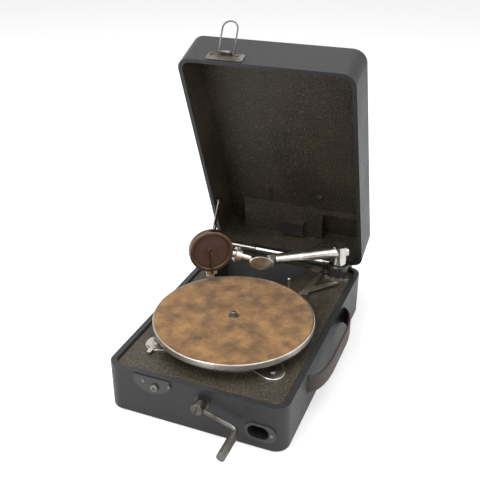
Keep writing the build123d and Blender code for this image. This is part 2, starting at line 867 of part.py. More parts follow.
with BuildPart() as crank_escutcheon:
    with BuildSketch(front):
        with Locations((crank_x, crank_z)):
            Circle(crank_escutcheon_radius)
    extrude(amount=sheet_metal)
    with BuildSketch(front):
        with Locations((crank_x, crank_z)):
            Circle(crank_escutcheon_radius - 4)
    extrude(amount=-(case_wall + case_ledge))
    with BuildSketch(front.offset(sheet_metal)):
        with Locations((crank_x, crank_z)):
            Circle(crank_shaft_radius + running_gap)
    extrude(amount=-(case_wall + case_ledge + 2 * sheet_metal), mode=Mode.SUBTRACT)
save(crank_escutcheon.part, "crank_escutcheon")

with BuildPart() as storage_escutcheon:
    with BuildSketch(front):
        with Locations((storage_x + storage_plate_shift, storage_z)):
            SlotOverall(storage_length + storage_plate_grow, storage_height + 2 * storage_plate_border)
        with Locations(storage_screw_place):
            Circle(screw_shank_radius + hair_gap, mode=Mode.SUBTRACT)
    extrude(amount=sheet_metal)
    with BuildSketch(front):
        with Locations((storage_x, storage_z)):
            SlotOverall(storage_length + 2 * sheet_metal, storage_height + 2 * sheet_metal)
    extrude(amount=-storage_tube_depth)
    with BuildSketch(front.offset(sheet_metal)):
        with Locations((storage_x, storage_z)):
            SlotOverall(storage_length, storage_height)
    extrude(amount=-storage_tube_depth, mode=Mode.SUBTRACT)
save(storage_escutcheon.part, "storage_escutcheon")


# Fixed small pieces on the deck
with BuildPart() as needle_cup:
    with BuildSketch(Plane.XY.offset(board_top)):
        with Locations((needle_cup_x, needle_cup_y)):
            Circle(needle_cup_radius + needle_cup_lip)
    extrude(amount=needle_cup_lip / 2)
    with BuildSketch(Plane.XY.offset(board_top - needle_cup_depth)):
        with Locations((needle_cup_x, needle_cup_y)):
            Circle(needle_cup_radius)
    extrude(amount=needle_cup_depth)
    with BuildSketch(Plane.XY.offset(board_top - needle_cup_depth + sheet_metal)):
        with Locations((needle_cup_x, needle_cup_y)):
            Circle(needle_cup_radius - sheet_metal)
    extrude(amount=needle_cup_depth, mode=Mode.SUBTRACT)
save(needle_cup.part, "needle_cup")

with BuildPart() as trip_pin:
    with BuildSketch(Plane.XY.offset(board_low)):
        with Locations(trip_pin_place):
            Circle(deck_pin_radius)
    extrude(amount=trip_pin_top - board_low)
    with Locations((trip_pin_place[0], trip_pin_place[1], trip_pin_top)):
        Sphere(trip_ball_radius)
save(trip_pin.part, "trip_pin")

with BuildPart() as arm_flange:
    with BuildSketch(Plane.XY.offset(board_top)):
        with Locations((pillar_x, pillar_y)):
            Circle(flange_radius)
            Circle(horn_neck_radius + seat_gap, mode=Mode.SUBTRACT)
        for lug in flange_screw_places:
            link((pillar_x, pillar_y), flange_lug_radius, lug, flange_lug_radius)
        with Locations((pillar_x, pillar_y)):
            Circle(horn_neck_radius + seat_gap, mode=Mode.SUBTRACT)
        with Locations(*flange_screw_places):
            Circle(screw_shank_radius + hair_gap, mode=Mode.SUBTRACT)
    extrude(amount=flange_thickness)
save(arm_flange.part, "arm_flange")

with BuildPart() as arm_collar:
    with BuildSketch(Plane(origin=(pillar_x, pillar_y, 0), x_dir=(1, 0, 0), z_dir=(0, -1, 0))):
        with BuildLine():
            Polyline(
                (pillar_radius + running_gap, collar_low + collar_floor),
                (pillar_radius + running_gap, collar_top - collar_lip),
                (collar_radius - collar_lip, collar_top),
                (collar_radius, collar_top - collar_lip),
                (collar_radius, collar_low),
                (horn_neck_radius - 1, collar_low),
                (horn_neck_radius - 1, collar_low + collar_floor),
                close=True,
            )
        make_face()
    revolve(axis=Axis((pillar_x, pillar_y, 0), (0, 0, 1)))
save(arm_collar.part, "arm_collar")

# Screws of the case and deck, one group
with BuildPart() as case_screws:
    for screw_x, screw_y, seat_z in deck_screws:
        with BuildSketch(Plane.XY.offset(seat_z - screw_length)):
            with Locations((screw_x, screw_y)):
                Circle(screw_shank_radius)
        extrude(amount=screw_length)
        with BuildSketch(Plane.XY.offset(seat_z)):
            with Locations((screw_x, screw_y)):
                Circle(screw_head_radius)
        head = extrude(amount=screw_head_height)
        fillet(head.faces().sort_by(Axis.Z)[-1].edges(), screw_head_round)
        with BuildSketch(Plane.XY.offset(seat_z + screw_head_height)):
            with Locations((screw_x, screw_y)):
                Rectangle(2 * screw_head_radius, screw_slot)
        extrude(amount=-screw_slot, mode=Mode.SUBTRACT)
    for screw_x, screw_z, seat in front_screws:
        with BuildSketch(front.offset(seat - front_screw_length)):
            with Locations((screw_x, screw_z)):
                Circle(screw_shank_radius)
        extrude(amount=front_screw_length)
        with BuildSketch(front.offset(seat)):
            with Locations((screw_x, screw_z)):
                Circle(front_screw_head)
        head = extrude(amount=front_screw_height)
        fillet(head.faces().sort_by(Axis.Y)[0].edges(), front_screw_height / 2)
save(case_screws.part, "case_screws")

# Handle: a leather strap that goes through two slits and bulges outwards, held by cross pins inside
with BuildPart() as handle_strap:
    with BuildSketch(Plane.XY.offset(handle_z - handle_width / 2)):
        with BuildLine():
            FilletPolyline(
                (handle_inner_x, handle_front_y),
                (half_width + handle_start, handle_front_y),
                (half_width + handle_bulge, handle_front_y + handle_shoulder),
                (half_width + handle_bulge, handle_rear_y - handle_shoulder),
                (half_width + handle_start, handle_rear_y),
                (handle_inner_x, handle_rear_y),
                radius=handle_bends,
            )
        trace(line_width=handle_thickness)
    extrude(amount=handle_width)
save(handle_strap.part, "handle_strap")

with BuildPart() as handle_anchors:
    with BuildSketch(Plane.XY.offset(handle_z - handle_width / 2 - handle_anchor_over)):
        with Locations((handle_inner_x - handle_anchor_radius, handle_front_y),
                       (handle_inner_x - handle_anchor_radius, handle_rear_y)):
            Circle(handle_anchor_radius)
    extrude(amount=handle_width + 2 * handle_anchor_over)
save(handle_anchors.part, "handle_anchors")

# Hinges on the rear wall: base leaves carry the pins
with BuildPart() as case_hinge_leaves:
    for side in (-1, 1):
        middle = side * hinge_spacing / 2
        with BuildSketch(Plane.XZ.offset(-half_depth)):
            with Locations((middle, case_height - hinge_leaf_height / 2 - hinge_leaf_drop)):
                Rectangle(hinge_leaf_width, hinge_leaf_height)
            with Locations(*[(middle + place, hinge_z - hinge_leaf_drop) for place in base_knuckles]):
                Rectangle(hinge_segment, 2 * hinge_leaf_drop)
        extrude(amount=-hinge_leaf_thickness)
        for place in base_knuckles:
            with BuildSketch(Plane.YZ.offset(middle + place - hinge_segment / 2)):
                with Locations((hinge_y, hinge_z)):
                    Circle(hinge_knuckle_radius)
            extrude(amount=hinge_segment)
        with BuildSketch(Plane.YZ.offset(middle - hinge_leaf_width / 2)):
            with Locations((hinge_y, hinge_z)):
                Circle(hinge_pin_radius)
        extrude(amount=hinge_leaf_width)
save(case_hinge_leaves.part, "case_hinge_leaves")

with BuildPart() as stay_bracket:
    with BuildSketch(Plane.YZ.offset(-inner_wall_x + seat_gap)):
        with Locations((stay_base_y, (board_top + stay_base_z) / 2)):
            Rectangle(stay_width, stay_base_z - board_top)
        with Locations((stay_base_y, stay_base_z)):
            Circle(stay_width / 2)
            Circle(stay_pin_radius + running_gap, mode=Mode.SUBTRACT)
    extrude(amount=stay_thickness)
    with BuildSketch(Plane.XY.offset(board_top)):
        with Locations((-inner_wall_x + seat_gap + stay_width / 2, stay_base_y)):
            Rectangle(stay_width, stay_width)
    extrude(amount=stay_thickness)
save(stay_bracket.part, "stay_bracket")


# Brake: a flat fork whose pad stands at the turntable's rim
with BuildPart() as brake_lever:
    with BuildSketch(Plane.XY.offset(brake_z)):
        link(brake_pivot, brake_hub, brake_pad_place, brake_width)
        link(brake_pivot, brake_hub, brake_neck, brake_width)
        link(brake_neck, brake_width, brake_prong_right, brake_width / 2)
        link(brake_neck, brake_width, brake_prong_left, brake_width / 2)
    extrude(amount=brake_thickness)
    with BuildSketch(Plane.XY.offset(board_low)):
        with Locations(brake_pivot):
            Circle(deck_pin_radius)
    extrude(amount=brake_z + brake_thickness + screw_head_height / 2 - board_low)
    with BuildSketch(Plane.XY.offset(board_top + seat_gap)):
        with Locations(brake_pivot):
            Circle(brake_width)
    extrude(amount=brake_z - board_top - seat_gap)
    with BuildSketch(Plane.XY.offset(brake_z + brake_thickness)):
        with Locations(brake_pivot):
            Circle(screw_head_radius)
    extrude(amount=screw_head_height)
save(brake_lever.part, "brake_lever")

with BuildPart() as brake_pad:
    with BuildSketch(Plane.XY.offset(brake_z + brake_thickness)):
        with Locations(brake_pad_place):
            Circle(brake_width)
        with Locations(spindle_at):
            Circle(platter_radius + seat_gap, mode=Mode.SUBTRACT)
    extrude(amount=brake_pad_height)
save(brake_pad.part, "brake_pad")

with BuildPart() as speed_lever:
    with BuildSketch(Plane.XY.offset(board_top + motor_plate_thickness + seat_gap)):
        with Locations(speed_pivot):
            Circle(speed_disc_radius)
            with Locations((0, -speed_tab_length / 2)):
                SlotOverall(speed_tab_length + speed_disc_radius / 2, speed_tab_width, rotation=90)
    extrude(amount=speed_disc_thickness)
    with BuildSketch(Plane.XY.offset(board_top + seat_gap)):
        with Locations(speed_pivot):
            Circle(deck_pin_radius)
    extrude(amount=motor_plate_thickness + speed_disc_thickness + seat_gap)
    with BuildSketch(Plane.XY.offset(board_top + motor_plate_thickness + seat_gap + speed_disc_thickness)):
        with Locations(speed_pivot):
            Circle(screw_head_radius)
    extrude(amount=screw_head_height)
save(speed_lever.part, "speed_lever")

# Turntable
with BuildPart() as platter:
    with BuildSketch(Plane.XZ.offset(-platter_centre_y)):
        with BuildLine():
            Polyline(
                (platter_bore, platter_web_top),
                (platter_radius - platter_lip, platter_web_top),
                (platter_radius - platter_lip, platter_rim_top),
                (platter_radius, platter_rim_top),
                (platter_radius, platter_rim_top - platter_rim_depth),
                (platter_radius - platter_sheet, platter_rim_top - platter_rim_depth),
                (platter_radius - platter_sheet, platter_web_top - platter_sheet),
                (platter_hub_radius, platter_web_top - platter_sheet),
                (platter_hub_radius - 2, platter_web_top - platter_hub_depth),
                (platter_bore, platter_web_top - platter_hub_depth),
                close=True,
            )
        make_face()
    revolve(axis=Axis((0, platter_centre_y, 0), (0, 0, 1)))
    rim_edges = platter.edges().filter_by(GeomType.CIRCLE).filter_by(
        lambda edge: abs(edge.radius - platter_radius) < hair_gap
    )
    fillet(rim_edges, platter_rim_round)
save(platter.part, "platter")

with BuildPart() as felt:
    with BuildSketch(Plane.XY.offset(platter_web_top)):
        with Locations(spindle_at):
            Circle(felt_radius)
            Circle(spindle_seat_radius + hair_gap, mode=Mode.SUBTRACT)
    extrude(amount=felt_thickness)
    chamfer(felt.faces().sort_by(Axis.Z)[-1].outer_wire().edges(), felt_thickness / 3)
save(felt.part, "felt")

with BuildPart() as washer:
    with BuildSketch(Plane.XY.offset(felt_top)):
        with Locations(spindle_at):
            Circle(washer_radius)
            Circle(spindle_seat_radius + hair_gap, mode=Mode.SUBTRACT)
    extrude(amount=washer_thickness)
save(washer.part, "washer")

with BuildPart() as spindle:
    for radius, low, high in (
        (spindle_foot_radius, spindle_foot, motor_bottom_top + seat_gap),
        (spindle_shaft_radius, motor_bottom_top + seat_gap, platter_web_top - platter_hub_depth),
        (spindle_seat_radius, platter_web_top - platter_hub_depth, felt_top + washer_thickness),
        (spindle_radius, felt_top + washer_thickness, spindle_top),
    ):
        with BuildSketch(Plane.XY.offset(low)):
            with Locations(spindle_at):
                Circle(radius)
        extrude(amount=high - low)
    chamfer(spindle.faces().sort_by(Axis.Z)[-1].edges(), spindle_tip_chamfer, spindle_tip_chamfer)
save(spindle.part, "spindle")

with BuildPart() as spindle_gears:
    with BuildSketch(Plane.XY.offset(mid_wheel_z - 0.5)):
        with Locations(spindle_at):
            tooth_form(spindle_pinion_teeth, mid_wheel_module, phase=spindle_phase)
            Circle(spindle_shaft_radius, mode=Mode.SUBTRACT)
    extrude(amount=wheel_thickness + 1)
    with BuildSketch(Plane.XY.offset(governor_z - wheel_thickness)):
        with Locations(spindle_at):
            Circle(worm_wheel_radius)
            Circle(spindle_shaft_radius, mode=Mode.SUBTRACT)
    extrude(amount=2 * wheel_thickness)
save(spindle_gears.part, "spindle_gears")

# Crank: a shaft through the front wall, a slotted boss, a bent rod and a loose tube grip
with BuildPart() as crank_shaft:
    with BuildSketch(crank_plane):
        Circle(crank_shaft_radius)
    extrude(amount=-(crank_boss_standoff + half_depth - crank_shaft_inner))
    with BuildSketch(crank_plane.offset(-(crank_boss_standoff + half_depth - crank_shaft_inner))):
        Circle(bevel_radius - bevel_tooth)
        with PolarLocations(bevel_radius - 1.5 * bevel_tooth, bevel_teeth):
            Rectangle(2 * bevel_tooth, bevel_tooth)
    extrude(amount=bevel_length)
save(crank_shaft.part, "crank_shaft")

with BuildPart() as crank_arm:
    with BuildSketch(crank_plane):
        Circle(crank_boss_radius)
    extrude(amount=crank_boss_length)
    fillet(crank_arm.faces().sort_by(Axis.Y)[0].edges(), crank_boss_round)
    with BuildSketch(crank_plane.offset(crank_boss_length)):
        Rectangle(crank_slot, 3 * crank_boss_radius, rotation=-crank_droop)
    extrude(amount=-crank_slot_depth, mode=Mode.SUBTRACT)
    with BuildLine() as rod_path:
        FilletPolyline(
            crank_hub_point,
            crank_turn_point,
            crank_rod_end,
            radius=crank_bend_radius,
        )
    with BuildSketch(along(crank_hub_point, (crank_turn_point - crank_hub_point))):
        Circle(crank_rod_radius)
    sweep(path=rod_path.line)
    with BuildSketch(along(crank_rod_end, Vector(0, -1, 0))):
        Circle(crank_grip_radius)
    extrude(amount=crank_rivet)
save(crank_arm.part, "crank_arm")

with BuildPart() as crank_grip:
    grip_start = crank_rod_end + Vector(0, crank_grip_length + seat_gap, 0)
    with BuildSketch(along(grip_start, Vector(0, -1, 0))):
        Circle(crank_grip_radius)
        Circle(crank_rod_radius + running_gap, mode=Mode.SUBTRACT)
    extrude(amount=crank_grip_length)
    grip_ends = crank_grip.edges().filter_by(lambda edge: abs(edge.length - 2 * pi * crank_grip_radius) < 0.1)
    chamfer(grip_ends, 0.8)
save(crank_grip.part, "crank_grip")

# Arm: a pillar that turns in the collar, a mitred elbow and a tapered tube
with BuildPart() as arm_pillar:
    with BuildSketch(Plane.XY.offset(collar_low + collar_floor + seat_gap)):
        with Locations((pillar_x, pillar_y)):
            Circle(pillar_radius)
    extrude(amount=arm_z - collar_low - collar_floor)
    with BuildSketch(Plane.XY.offset(arm_z - elbow_skirt)):
        with Locations((pillar_x, pillar_y)):
            Circle(elbow_radius)
    extrude(amount=elbow_skirt + elbow_tube_radius)
    with BuildSketch(along(pillar_at - arm_direction * elbow_radius, arm_direction)):
        Circle(elbow_tube_radius)
    extrude(amount=elbow_radius + elbow_socket)
    mitre = (arm_direction * -1 + Vector(0, 0, 1)).normalized()
    split(bisect_by=Plane(origin=pillar_at + mitre * elbow_mitre, z_dir=mitre), keep=Keep.BOTTOM)
    with BuildSketch(Plane.XY.offset(collar_low)):
        with Locations((pillar_x, pillar_y)):
            Circle(pillar_bore)
    extrude(amount=arm_z - collar_low, mode=Mode.SUBTRACT)
    with BuildSketch(along(pillar_at, arm_direction)):
        Circle(tube_root_radius - tube_wall)
    extrude(amount=elbow_socket, mode=Mode.SUBTRACT)
save(arm_pillar.part, "arm_pillar")

with BuildPart() as arm_tube:
    with BuildSketch(along(pillar_at + arm_direction * elbow_socket, arm_direction)):
        Circle(tube_root_radius)
    with BuildSketch(along(knuckle_at - arm_direction * tube_end, arm_direction)):
        Circle(tube_end_radius)
    loft()
    with BuildSketch(along(pillar_at + arm_direction * elbow_socket, arm_direction)):
        Circle(spigot_radius + running_gap)
    extrude(amount=arm_length - tube_end - elbow_socket, mode=Mode.SUBTRACT)
save(arm_tube.part, "arm_tube")

# Knuckle: its spigot turns in the tube, its flat cheek carries the neck's pin
with BuildPart() as knuckle:
    with BuildSketch(along(knuckle_at - arm_direction * knuckle_reach, arm_direction)):
        Circle(tube_end_radius)
    extrude(amount=knuckle_reach)
    with BuildSketch(head_plane.offset(-knuckle_depth)):
        Circle(knuckle_radius)
    extrude(amount=knuckle_depth)
    fillet(knuckle.faces().sort_by(Axis(knuckle_at, arm_side))[0].edges(), knuckle_round)
    with BuildSketch(head_plane.offset(-cheek_gap)):
        Rectangle(3 * knuckle_reach, 3 * knuckle_radius)
    extrude(amount=2 * knuckle_radius, mode=Mode.SUBTRACT)
    with BuildSketch(along(knuckle_at - arm_direction * (knuckle_reach + swivel_ring), arm_direction)):
        Circle(tube_end_radius + swivel_lip)
    extrude(amount=swivel_ring)
    with BuildSketch(along(knuckle_at - arm_direction * (knuckle_reach + spigot_length), arm_direction)):
        Circle(spigot_radius)
    extrude(amount=spigot_length)
    with BuildSketch(head_plane.offset(-knuckle_depth / 2)):
        Circle(lift_pin_radius)
    extrude(amount=knuckle_depth / 2 + lift_pin_length)
save(knuckle.part, "knuckle")

# Neck: an oval flat-faced end on the pin, a rising tube and a round knob behind the soundbox
neck_from = head_plane.from_local_coords(Vector(0, 0, neck_root_offset))
neck_to = head_plane.from_local_coords(Vector(-soundbox_reach, soundbox_rise, neck_offset))
neck_direction = (neck_to - neck_from).normalized()
with BuildPart() as neck:
    with BuildSketch(head_plane.offset(cheek_gap)):
        Ellipse(oval_length / 2, oval_height / 2, rotation=-oval_tilt)
    extrude(amount=oval_depth - cheek_gap)
    chamfer(neck.faces().sort_by(Axis(knuckle_at, arm_side))[-1].edges(), oval_edge)
    with BuildSketch(head_plane.offset(cheek_gap)):
        Circle(lift_pin_radius + running_gap)
    extrude(amount=lift_pin_length, mode=Mode.SUBTRACT)
    with BuildSketch(along(neck_from + neck_direction * neck_start, neck_direction)):
        Circle(neck_root_radius)
    with BuildSketch(along(neck_to, neck_direction)):
        Circle(neck_end_radius)
    loft()
    with Locations(neck_to):
        Sphere(neck_knob_radius)
    with BuildSketch(box_plane.offset(neck_offset - soundbox_offset)):
        Circle(neck_end_radius)
    extrude(amount=soundbox_offset - neck_offset - soundbox_back - neck_seat)
    with BuildSketch(box_plane.offset(-soundbox_back - neck_seat)):
        Circle(back_boss_radius)
    extrude(amount=soundbox_back, mode=Mode.SUBTRACT)
save(neck.part, "neck")

clamp_across = neck_direction.cross(arm_side).normalized()
with BuildPart() as clamp_collar:
    clamp_plane = along(neck_from + neck_direction * clamp_place, neck_direction)
    with BuildSketch(clamp_plane):
        Circle(clamp_radius)
        Circle(neck_root_radius, mode=Mode.SUBTRACT)
    extrude(amount=clamp_length)
    for side in (-1, 1):
        with BuildSketch(Plane(origin=clamp_plane.origin + neck_direction * clamp_length / 2
                               + clamp_across * side * (clamp_radius - 1), z_dir=clamp_across * side)):
            Circle(clamp_screw_radius)
        extrude(amount=clamp_screw_height + 1)
save(clamp_collar.part, "clamp_collar")

# Soundbox
with BuildPart() as soundbox_back_shell:
    with BuildSketch(box_plane.offset(-soundbox_back)):
        Circle(back_boss_radius)
    with BuildSketch(box_plane.offset(-soundbox_back_edge)):
        Circle(soundbox_radius)
    loft()
    with BuildSketch(box_plane.offset(-soundbox_back_edge)):
        Circle(soundbox_radius)
    extrude(amount=soundbox_back_edge - soundbox_seat)
    with BuildSketch(box_plane.offset(-soundbox_back - neck_seat)):
        Circle(back_boss_radius - 2)
    extrude(amount=neck_seat)
save(soundbox_back_shell.part, "soundbox_back")

with BuildPart() as soundbox_ring:
    with BuildSketch(box_plane.offset(-soundbox_seat)):
        Circle(soundbox_radius)
        Circle(soundbox_radius - soundbox_ring_width, mode=Mode.SUBTRACT)
    extrude(amount=soundbox_seat + soundbox_front)
    ring_edges = soundbox_ring.faces().sort_by(Axis(soundbox_at, arm_side))[-1].edges()
    fillet(ring_edges, soundbox_ring_round)
save(soundbox_ring.part, "soundbox_ring")

with BuildPart() as diaphragm:
    disc_radius = soundbox_radius - soundbox_ring_width - hair_gap
    with BuildSketch(box_plane.offset(diaphragm_place)):
        Circle(disc_radius)
    extrude(amount=diaphragm_thickness)
    for radius in diaphragm_ridges:
        with BuildSketch(box_plane.offset(diaphragm_place + diaphragm_thickness)):
            Circle(radius)
            Circle(radius - diaphragm_ridge_width, mode=Mode.SUBTRACT)
        extrude(amount=diaphragm_ridge_height)
save(diaphragm.part, "diaphragm")

with BuildPart() as needle_bar:
    with BuildSketch(box_plane.offset(diaphragm_place + diaphragm_thickness)):
        Circle(needle_bar_foot)
    extrude(amount=soundbox_front + hair_gap - diaphragm_place - diaphragm_thickness)
    with BuildSketch(box_plane.offset(soundbox_front + hair_gap)):
        Circle(needle_bar_foot)
        with BuildLine():
            Polyline(
                (-needle_bar_width / 2, 0),
                (-needle_bar_width / 3, -soundbox_radius - needle_bar_over),
                (needle_bar_width / 3, -soundbox_radius - needle_bar_over),
                (needle_bar_width / 2, 0),
                close=True,
            )
        make_face()
    extrude(amount=needle_bar_thickness)
save(needle_bar.part, "needle_bar")

with BuildPart() as needle_holder:
    with BuildSketch(box_plane.offset(-needle_block_depth / 2)):
        with Locations((0, -soundbox_radius - needle_block_height / 2)):
            Rectangle(needle_block_width, needle_block_height)
        Circle(soundbox_radius + hair_gap, mode=Mode.SUBTRACT)
        with Locations((0, -needle_chuck_drop + needle_chuck_rise / 2)):
            Rectangle(2 * needle_chuck_radius, needle_chuck_rise)
    extrude(amount=needle_block_depth / 2 + needle_block_front)
    chuck_end = soundbox_at - Vector(0, 0, needle_chuck_drop)
    with BuildSketch(Plane.XY.offset(chuck_end.Z)):
        with Locations((chuck_end.X, chuck_end.Y)):
            Circle(needle_bore_radius)
    extrude(amount=needle_bore_depth, mode=Mode.SUBTRACT)
    with BuildSketch(thumb_plane):
        Circle(thumb_shank_radius + running_gap)
    extrude(amount=thumb_shank_length + running_gap, mode=Mode.SUBTRACT)
save(needle_holder.part, "needle_holder")

with BuildPart() as thumb_screw:
    with BuildSketch(thumb_plane):
        Circle(thumb_shank_radius)
    extrude(amount=thumb_shank_length)
    with BuildSketch(thumb_plane.offset(-seat_gap)):
        Circle(thumb_head_radius)
        with PolarLocations(thumb_head_radius, thumb_grooves):
            Circle(thumb_groove_radius, mode=Mode.SUBTRACT)
    extrude(amount=-thumb_head_length)
    with BuildSketch(thumb_plane.offset(-seat_gap)):
        Circle(thumb_shank_radius)
    extrude(amount=seat_gap)
save(thumb_screw.part, "thumb_screw")

# Lid, modelled open: u runs from the hinge along the lid, w from the rim to the top
with BuildPart() as lid_shell:
    with BuildSketch(lid_level(seat_gap / 2)):
        RectangleRounded(case_width, case_depth, case_corner_radius)
    extrude(amount=lid_height - seat_gap / 2)
    fillet(lid_shell.faces().sort_by(Axis(lid_point(0, 0, 0), lid_plane.z_dir))[-1].edges(), lid_edge_round)
    with BuildSketch(lid_level(seat_gap / 2)):
        RectangleRounded(case_width - 2 * lid_wall, case_depth - 2 * lid_wall, case_corner_radius - lid_wall)
    extrude(amount=lid_ceiling_w - seat_gap / 2, mode=Mode.SUBTRACT)
save(lid_shell.part, "lid_shell")

with BuildPart() as lid_lining:
    border = lid_wall + hair_gap
    inner_border = border + lining_thickness
    with BuildSketch(lid_level(lining_edge_w)):
        RectangleRounded(case_width - 2 * border, case_depth - 2 * border, case_corner_radius - border)
    extrude(amount=lid_ceiling_w - lining_edge_w)
    with BuildSketch(lid_level(lining_edge_w)):
        RectangleRounded(case_width - 2 * inner_border, case_depth - 2 * inner_border,
                         case_corner_radius - inner_border)
    extrude(amount=lid_ceiling_w - lining_edge_w - lining_thickness, mode=Mode.SUBTRACT)
save(lid_lining.part, "lid_lining")

lid_side = Plane(origin=lid_point(0, 0, 0), x_dir=lid_plane.y_dir * -1, z_dir=Vector(-1, 0, 0))
with BuildPart() as deflector:
    with BuildSketch(lid_side.offset(-deflector_right)):
        with BuildLine():
            Polyline(
                (deflector_top_u, lining_ceiling_w - hair_gap),
                (deflector_low_u, deflector_low_w),
                (deflector_low_u, deflector_low_w - deflector_sheet),
                (deflector_top_u, lining_ceiling_w - hair_gap - deflector_sheet),
                close=True,
            )
        make_face()
    extrude(amount=deflector_right - deflector_left)
    with BuildSketch(lid_plane):
        notch_middle_u = (deflector_notch_u + deflector_low_u) / 2 - 5
        with Locations(((deflector_notch_x + half_width) / 2, -notch_middle_u)):
            RectangleRounded(half_width - deflector_notch_x, deflector_notch_u - deflector_low_u + 10, 4)
    extrude(amount=lid_height, mode=Mode.SUBTRACT)
save(deflector.part, "deflector")

with BuildPart() as buffer_block:
    slope = (lining_ceiling_w - hair_gap - deflector_low_w) / (deflector_top_u - deflector_low_u)
    face_low = deflector_low_w - deflector_sheet + (buffer_u - deflector_low_u) * slope - hair_gap
    face_high = face_low + buffer_length * slope
    with BuildSketch(lid_side.offset(-buffer_right)):
        with BuildLine():
            Polyline(
                (buffer_u, face_low),
                (buffer_u, face_low - buffer_height),
                (buffer_u + buffer_length, face_high - buffer_height),
                (buffer_u + buffer_length, face_high),
                close=True,
            )
        make_face()
    extrude(amount=buffer_width)
save(buffer_block.part, "buffer_block")

with BuildPart() as lid_clips:
    with BuildSketch(lid_plane.offset(lining_ceiling_w - clip_sheet)):
        with Locations((clip_x, -clip_u)):
            Rectangle(clip_width, clip_length)
        with Locations((bracket_x, -bracket_u)):
            Rectangle(bracket_size, bracket_size)
    extrude(amount=clip_sheet)
    with BuildSketch(lid_plane.offset(lining_ceiling_w - bracket_drop)):
        with Locations((bracket_x, -bracket_u)):
            Rectangle(bracket_size, clip_sheet)
        with Locations((clip_x, -clip_u - clip_length / 2 + clip_sheet / 2)):
            Rectangle(clip_width, clip_sheet)
    extrude(amount=bracket_drop - clip_sheet)
save(lid_clips.part, "lid_clips")

with BuildPart() as lid_hinge_leaves:
    rear_face = Plane(origin=lid_point(0, lid_rear_u, 0), x_dir=(1, 0, 0), z_dir=lid_plane.y_dir)
    for side in (-1, 1):
        middle = side * hinge_spacing / 2
        with BuildSketch(rear_face):
            with Locations((middle, -hinge_leaf_height / 2 - hinge_leaf_drop)):
                Rectangle(hinge_leaf_width, hinge_leaf_height)
            with Locations(*[(middle + place, -hinge_leaf_drop) for place in lid_knuckles]):
                Rectangle(hinge_segment - 2 * seat_gap, 2 * hinge_leaf_drop)
        extrude(amount=hinge_leaf_thickness)
        for place in lid_knuckles:
            with BuildSketch(Plane.YZ.offset(middle + place - hinge_segment / 2 + seat_gap)):
                with Locations((hinge_y, hinge_z)):
                    Circle(hinge_knuckle_radius)
            extrude(amount=hinge_segment - 2 * seat_gap)
            with BuildSketch(Plane.YZ.offset(middle + place - hinge_segment / 2 + seat_gap)):
                with Locations((hinge_y, hinge_z)):
                    Circle(hinge_pin_radius + running_gap)
            extrude(amount=hinge_segment - 2 * seat_gap, mode=Mode.SUBTRACT)
save(lid_hinge_leaves.part, "lid_hinge_leaves")

lid_front = Plane(origin=lid_point(0, lid_front_u, 0), x_dir=(1, 0, 0), z_dir=lid_plane.y_dir * -1)
latch_curl = latch_wire / 2 + running_gap + sheet_metal
latch_pivot = lid_point(latch_x, lid_front_u + latch_axis_out, latch_axis_w)
curl_plane = Plane(
    origin=latch_pivot - Vector(latch_tongue / 2, 0, 0), x_dir=lid_plane.y_dir * -1, z_dir=(1, 0, 0)
)
with BuildPart() as latch_plate:
    with BuildSketch(lid_front):
        with Locations((latch_x, (latch_plate_low + latch_plate_high) / 2)):
            RectangleRounded(latch_plate_width, latch_plate_high - latch_plate_low, 3)
        with Locations((latch_x, (latch_plate_low + latch_axis_w + latch_curl) / 2)):
            Rectangle(latch_tongue, latch_axis_w + latch_curl - latch_plate_low)
    extrude(amount=sheet_metal)
    with BuildSketch(curl_plane):
        Circle(latch_curl)
        with Locations((-latch_axis_out / 2, 0)):
            Rectangle(latch_axis_out, 2 * latch_curl)
        Circle(latch_wire / 2 + running_gap, mode=Mode.SUBTRACT)
    extrude(amount=latch_tongue)
    for place in latch_screw_x:
        with BuildSketch(lid_front.offset(sheet_metal)):
            with Locations((place, latch_screw_w)):
                Circle(front_screw_head)
        head = extrude(amount=front_screw_height)
save(latch_plate.part, "latch_plate")

with BuildPart() as latch_ring:
    ring_rad = radians(latch_ring_tip)
    ring_down = lid_plane.z_dir * -cos(ring_rad) + lid_plane.y_dir * -sin(ring_rad)
    half = latch_ring_width / 2 - latch_wire / 2
    with BuildLine() as ring_path:
        FilletPolyline(
            latch_pivot + Vector(-half, 0, 0),
            latch_pivot + Vector(-half, 0, 0) + ring_down * latch_ring_length,
            latch_pivot + Vector(half, 0, 0) + ring_down * latch_ring_length,
            latch_pivot + Vector(half, 0, 0),
            radius=half - 0.5,
        )
    with BuildSketch(along(latch_pivot + Vector(-half, 0, 0), ring_down)):
        Circle(latch_leg_radius)
    sweep(path=ring_path.line)
    with BuildSketch(Plane.YZ.offset(latch_x - half - latch_wire / 2).shift_origin(
            Vector(latch_x - half - latch_wire / 2, latch_pivot.Y, latch_pivot.Z))):
        Circle(latch_wire / 2)
    extrude(amount=latch_ring_width)
save(latch_ring.part, "latch_ring")

